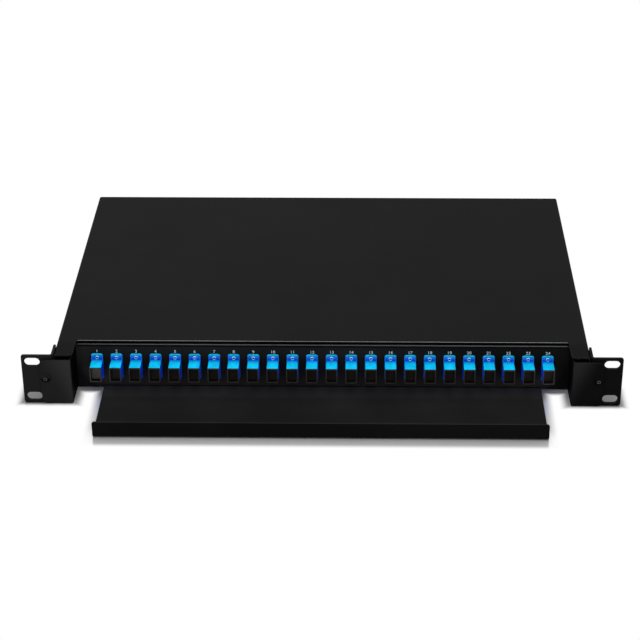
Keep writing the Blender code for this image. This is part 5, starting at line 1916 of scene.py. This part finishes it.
@dataclass
class CableEntries:
    """The glands in the rear wall, and the saddles that hold the cables in the drawer."""

    across_flats: float = 0.0240
    thread: float = 0.0200
    bore: float = 0.0120
    inside: float = 0.0085
    hex_depth: float = 0.0057
    hex_edge: float = 0.0005
    nut_depth: float = 0.0050
    spout: float = 0.0168
    spout_depth: float = 0.0090
    ridge_pitch: float = 0.0015
    thread_depth: float = 0.0007
    ridge_depth: float = 0.0006
    cap_grip: float = 0.0090
    cap_nose: float = 0.0150
    cap_end: float = 0.1876
    cap_edge: float = 0.0006
    dome_steps: int = 8
    ribs: int = 18
    rib_half: float = 0.0005
    seal_wall: float = 0.0016
    seal_depth: float = 0.0060
    seal_play: float = 0.00015
    saddle_half: float = 0.0090
    saddle_height: float = 0.0100
    saddle_foot: float = 0.0080
    saddle_depth: float = 0.0120
    saddle_middle: float = 0.1090
    rivet_head: float = 0.0050
    rivet_height: float = 0.0010

    def build(self) -> None:
        """Makes the glands and saddles of both sides."""
        for side in Side:
            self.build_gland(side, Vector((side.value * ENTRY_HALF, 0, ENTRY_HEIGHT)))
            self.build_saddle(side)

    def hexagon(self, place: Vector, start: float, depth: float, bevel: float) -> Form:
        """A hexagonal plate with flats at top and bottom.

        Args:
            place: its axis.
            start: where it starts.
            depth: its thickness.
            bevel: how much its edges are rounded.

        Returns:
            The plate.
        """
        form = Form().circle((0, 0), self.across_flats / math.cos(math.pi / 6), 6)
        form.transform(Matrix.Rotation(math.pi / 6, 4, "Z")).shift((place.x, place.z, 0))
        return form.stand(Facing.FRONT, start).push(Facing.FRONT, depth).soften(bevel, 2, 40.0)

    def ridged(self, diameter: float, start: float, end: float, depth: float) -> list[tuple[float, float]]:
        """The profile of a ridged outer surface.

        Args:
            diameter: its width over the ridges.
            start: where the first is.
            end: where the last is.
            depth: how deep the grooves are.

        Returns:
            Radius and place of each corner.
        """
        points, radius, pitch = [], diameter / 2, self.ridge_pitch
        for index in range(int((end - start) / pitch)):
            at = start + index * pitch
            points += [(radius - depth, at), (radius, at + pitch * 0.35), (radius, at + pitch * 0.65)]
        return points + [(radius - depth, end)]

    def build_gland(self, side: Side, place: Vector) -> None:
        """Body, lock nut, dome cap and rubber seal.

        Args:
            side: the gland's side.
            place: its axis.
        """
        outside, bore = REAR_WALL + PIECE_GAP, self.bore / 2
        hex_end = outside + self.hex_depth
        spout_end, neck = hex_end + self.spout_depth, outside + OVERRUN
        body = [(bore, REAR_WALL - self.inside)]
        body += self.ridged(self.thread, REAR_WALL - self.inside, outside - 0.0002, self.thread_depth)
        body += [(self.thread / 2 - self.thread_depth, neck), (self.spout / 2 - self.ridge_depth, neck)]
        body += self.ridged(self.spout, hex_end, spout_end, self.ridge_depth) + [(bore, spout_end)]
        form = Form.turned(body, DEEP, place, 48)
        plate = self.hexagon(place, outside, self.hex_depth, self.hex_edge)
        plate.combined("DIFFERENCE", Form.drill(place, self.bore + 0.0004, outside - OVERRUN,
                                                hex_end + OVERRUN))
        link_piece(f"gland_body_{side.word}", form.combined("UNION", plate), "chassis", [NYLON],
                   f"cable_gland_{side.word}")

        start = REAR_WALL - SHEET - PIECE_GAP - self.nut_depth
        nut = self.hexagon(place, start, self.nut_depth, self.hex_edge)
        nut.combined("DIFFERENCE", Form.drill(place, self.thread + 2 * PIECE_GAP, start - OVERRUN,
                                              start + self.nut_depth + OVERRUN))
        link_piece(f"lock_nut_{side.word}", nut, "chassis", [NYLON], f"gland_nut_{side.word}")
        self.build_cap(side, place, hex_end + PIECE_GAP, spout_end)

    def build_cap(self, side: Side, place: Vector, start: float, spout_end: float) -> None:
        """The gland's ribbed dome cap and the seal in its mouth.

        Args:
            side: the gland's side.
            place: its axis.
            start: where the cap starts.
            spout_end: where the body inside it ends.
        """
        bore, nose, reach = self.bore / 2, self.cap_nose / 2, self.across_flats / 2
        dome_start = start + self.cap_grip - OVERRUN
        length = self.cap_end - dome_start
        shares = [step / self.dome_steps for step in range(self.dome_steps + 1)]
        profile = [(nose + (reach - nose) * math.sqrt(1 - share ** 2), dome_start + length * share)
                   for share in shares]
        dome = Form.turned([(0, dome_start), *profile, (0, self.cap_end)], DEEP, place, 48, ring=False)
        ribs = []
        for index in range(self.ribs):
            turn = Matrix.Rotation(index * math.tau / self.ribs, 4, "Y")
            rib = Form.block((reach - 0.0016, dome_start + 0.0012, -self.rib_half),
                             (reach + 0.0001, dome_start + length / 2, self.rib_half))
            ribs.append(rib.transform(Matrix.Translation(place) @ turn))
        cavity = self.spout + 2 * PIECE_GAP
        cuts = [Form.drill(place, cavity, start - OVERRUN, spout_end + PIECE_GAP),
                Form.drill(place, self.bore, start, self.cap_end + OVERRUN)]
        grip = self.hexagon(place, start, self.cap_grip, self.cap_edge)
        grip.combined("UNION", dome, *ribs).combined("DIFFERENCE", *cuts)
        link_piece(f"dome_cap_{side.word}", grip, "chassis", [NYLON],
                   f"gland_cap_{side.word}")
        seal_start, seal_end = spout_end - self.seal_depth, self.cap_end - 0.0006
        inner, outer = bore - self.seal_wall, bore - self.seal_play
        seal = Form.turned([(inner + 0.0008, seal_end), (outer, seal_end - 0.0002), (outer, seal_start),
                            (inner, seal_start), (inner, seal_end - 0.0010)], DEEP, place, 48)
        link_piece(f"gland_seal_{side.word}", seal, "chassis", [RUBBER])

    def build_saddle(self, side: Side) -> None:
        """A bridge-shaped steel strap with a rivet in each foot.

        Args:
            side: the saddle's side.
        """
        base, middle, wide = TRAY_TOP + PIECE_GAP, side.value * ENTRY_HALF, self.saddle_half
        foot = wide + self.saddle_foot
        path = [(-foot, SHEET), (-wide, SHEET), (-wide, self.saddle_height), (wide, self.saddle_height),
                (wide, SHEET), (foot, SHEET)]
        form = Form.strip([(middle + x, base + z) for x, z in path],
                          self.saddle_middle - self.saddle_depth / 2,
                          self.saddle_middle + self.saddle_depth / 2,
                          [INNER_BEND, OUTER_BEND, OUTER_BEND, INNER_BEND])
        link_piece(f"saddle_{side.word}", form.thicken(UPRIGHT, SHEET).soften(), "drawer", [ZINC],
                   f"cable_saddle_{side.word}", even=True)
        seats = [(middle + end * (foot - self.saddle_foot / 2), self.saddle_middle, base + SHEET)
                 for end in ENDS]
        rivets = fixings(Head.DOME, seats, UPRIGHT, self.rivet_head, self.rivet_height)
        link_piece(f"saddle_rivets_{side.word}", rivets, "drawer", [ZINC_SCREW])


@dataclass
class Studio:
    """Camera, lamps, world and floor."""

    place: Triple = (0.02934, -1.41866, 0.78513)
    yaw: float = -1.3442
    pitch: float = 28.854
    roll: float = -0.3639
    focal_pixels: float = 1855.06
    frame_pixels: float = 640.0
    sensor: float = 36.0
    ambient: float = 0.30
    floor_half: float = 6.0
    floor_level: float = -0.0003
    mirror_share: float = 0.45
    shadow_start: float = 0.0070
    shadow_span: float = 0.0065
    side_start: float = 0.0065
    side_share: float = 0.75
    # Middle of the painted shadow on the floor behind each ear.
    ear_shadow_place: tuple[float, float] = (0.2326, -0.1240)
    footprints: ClassVar[tuple[tuple[float, ...], ...]] = (
        (0.0, 0.1795, -0.1876, -0.1100), (0.22125, 0.02005, -0.1281, -0.0950), (0.0, 0.2150, -0.1075, 0.1650))

    def build(self) -> None:
        """Sets up the camera, the light and the floor."""
        self.build_camera()
        self.build_world()
        self.build_lamps()
        self.build_floor()
        bpy.context.scene.view_settings.view_transform = "Standard"

    def build_camera(self) -> None:
        """The camera at the viewpoint that the unit is shown from."""
        data = bpy.data.cameras.new("camera")
        data.sensor_width = self.sensor
        data.lens = self.focal_pixels * self.sensor / self.frame_pixels
        data.clip_start, data.clip_end = 0.05, 60.0
        yaw, pitch, roll = (math.radians(angle) for angle in (self.yaw, self.pitch, self.roll))
        ahead = Vector((math.sin(yaw) * math.cos(pitch), math.cos(yaw) * math.cos(pitch), -math.sin(pitch)))
        right = Vector((math.cos(yaw), -math.sin(yaw), 0))
        up = right.cross(ahead)
        across = right * math.cos(roll) + up * math.sin(roll)
        upright = up * math.cos(roll) - right * math.sin(roll)
        camera = bpy.data.objects.new("camera", data)
        bpy.context.scene.collection.objects.link(camera)
        turn = Matrix((across, upright, -ahead)).transposed().to_4x4()
        camera.matrix_world = Matrix.Translation(self.place) @ turn
        bpy.context.scene.camera = camera

    def build_world(self) -> None:
        """Soft light from all round, and plain white where it is seen or mirrored."""
        world = bpy.data.worlds.new("studio_world")
        world.use_nodes = True
        sky = Tree(world.node_tree)
        strength = self.ambient + sky.seen() * (1.0 - self.ambient)
        backdrop = sky.node("ShaderNodeBackground", {}, {"Color": grey(1.0), "Strength": strength})
        sky.node("ShaderNodeOutputWorld", {}, {"Surface": backdrop})
        bpy.context.scene.world = world

    def build_lamps(self) -> None:
        """A wide softbox overhead and a weaker one in front."""
        for name, place, target, size, power in (
                ("lamp_top", (0.10, 0.30, 2.60), (0, 0.1, 0), (4.0, 4.0), 92.0),
                ("lamp_front", (-0.55, -1.90, 1.20), (0, -0.1, 0), (1.2, 0.9), 3.0)):
            data = bpy.data.lights.new(name, "AREA")
            data.shape, data.size, data.size_y, data.energy = "RECTANGLE", size[0], size[1], power
            lamp = bpy.data.objects.new(name, data)
            bpy.context.scene.collection.objects.link(lamp)
            aim = Vector(target) - Vector(place)
            lamp.matrix_world = Matrix.Translation(place) @ aim.to_track_quat("-Z", "Y").to_matrix().to_4x4()

    def build_floor(self) -> None:
        """A plain white floor that keeps the unit's shadow and a faint reflection of it, with a painted
        shadow behind each ear.
        """
        form = Form()
        bmesh.ops.create_grid(form.work, x_segments=1, y_segments=1, size=self.floor_half,
                              matrix=Matrix.Translation((0, 0, self.floor_level)))
        paint = Paint("floor_white")
        grain = paint.noise(35.0, 3.0)
        across, deep = paint.along((1, 0, 0)).size(), paint.along((0, 1, 0))
        away: Signal | None = None
        for middle, half, front, back in self.footprints:
            beside = ((across - middle).size() - half) * self.side_share + self.side_start
            ahead = (deep - (front + back) / 2).size() - (back - front) / 2
            reach = beside.larger(ahead)
            away = reach if away is None else away.smaller(reach)
        # Painted shadow: the floor behind each ear is painted dark grey and loses its mirror, so the lower
        # rack slots look into shade.
        corner = (across - self.ear_shadow_place[0]).size().larger((deep - self.ear_shadow_place[1]).size())
        clear = corner.above(0.010, 0.010)
        paint.dress({"Base Color": paint.mix(clear, grey(0.20), paint.mix(grain, grey(0.90), grey(0.93))),
                     "Roughness": 0.22 + grain * 0.08, "Specular IOR Level": 0.35})
        glow = paint.node("ShaderNodeEmission", {}, {"Color": grey(1.0), "Strength": 1.0})
        mirror = paint.node("ShaderNodeBsdfGlossy", {}, {"Color": grey(1.0), "Roughness": 0.16})
        layers = {0: clear * self.mirror_share, 1: paint.shader, 2: mirror}
        surface = paint.node("ShaderNodeMixShader", {}, layers)
        share = paint.seen() * away.above(self.shadow_start, self.shadow_span)
        mixed = paint.node("ShaderNodeMixShader", {}, {0: share, 1: surface, 2: glow})
        paint.finish(mixed)
        floor = bpy.data.objects.new("floor", form.mesh("floor"))
        floor.data.materials.append(paint.material)
        bpy.context.scene.collection.objects.link(floor)


def main() -> None:
    """Builds every part of the drawer in turn, then the studio."""
    logging.basicConfig(level=logging.INFO, format="%(message)s")
    for assembly in (Casing(), RackEars(), DrawerFront(), DrawerTray(), Ports(), Latches(), Slides(),
                     SpliceTray(), Spools(), CableEntries(), Studio()):
        LOG.info("building %s", type(assembly).__name__)
        assembly.build()


if __name__ == "__main__":
    main()
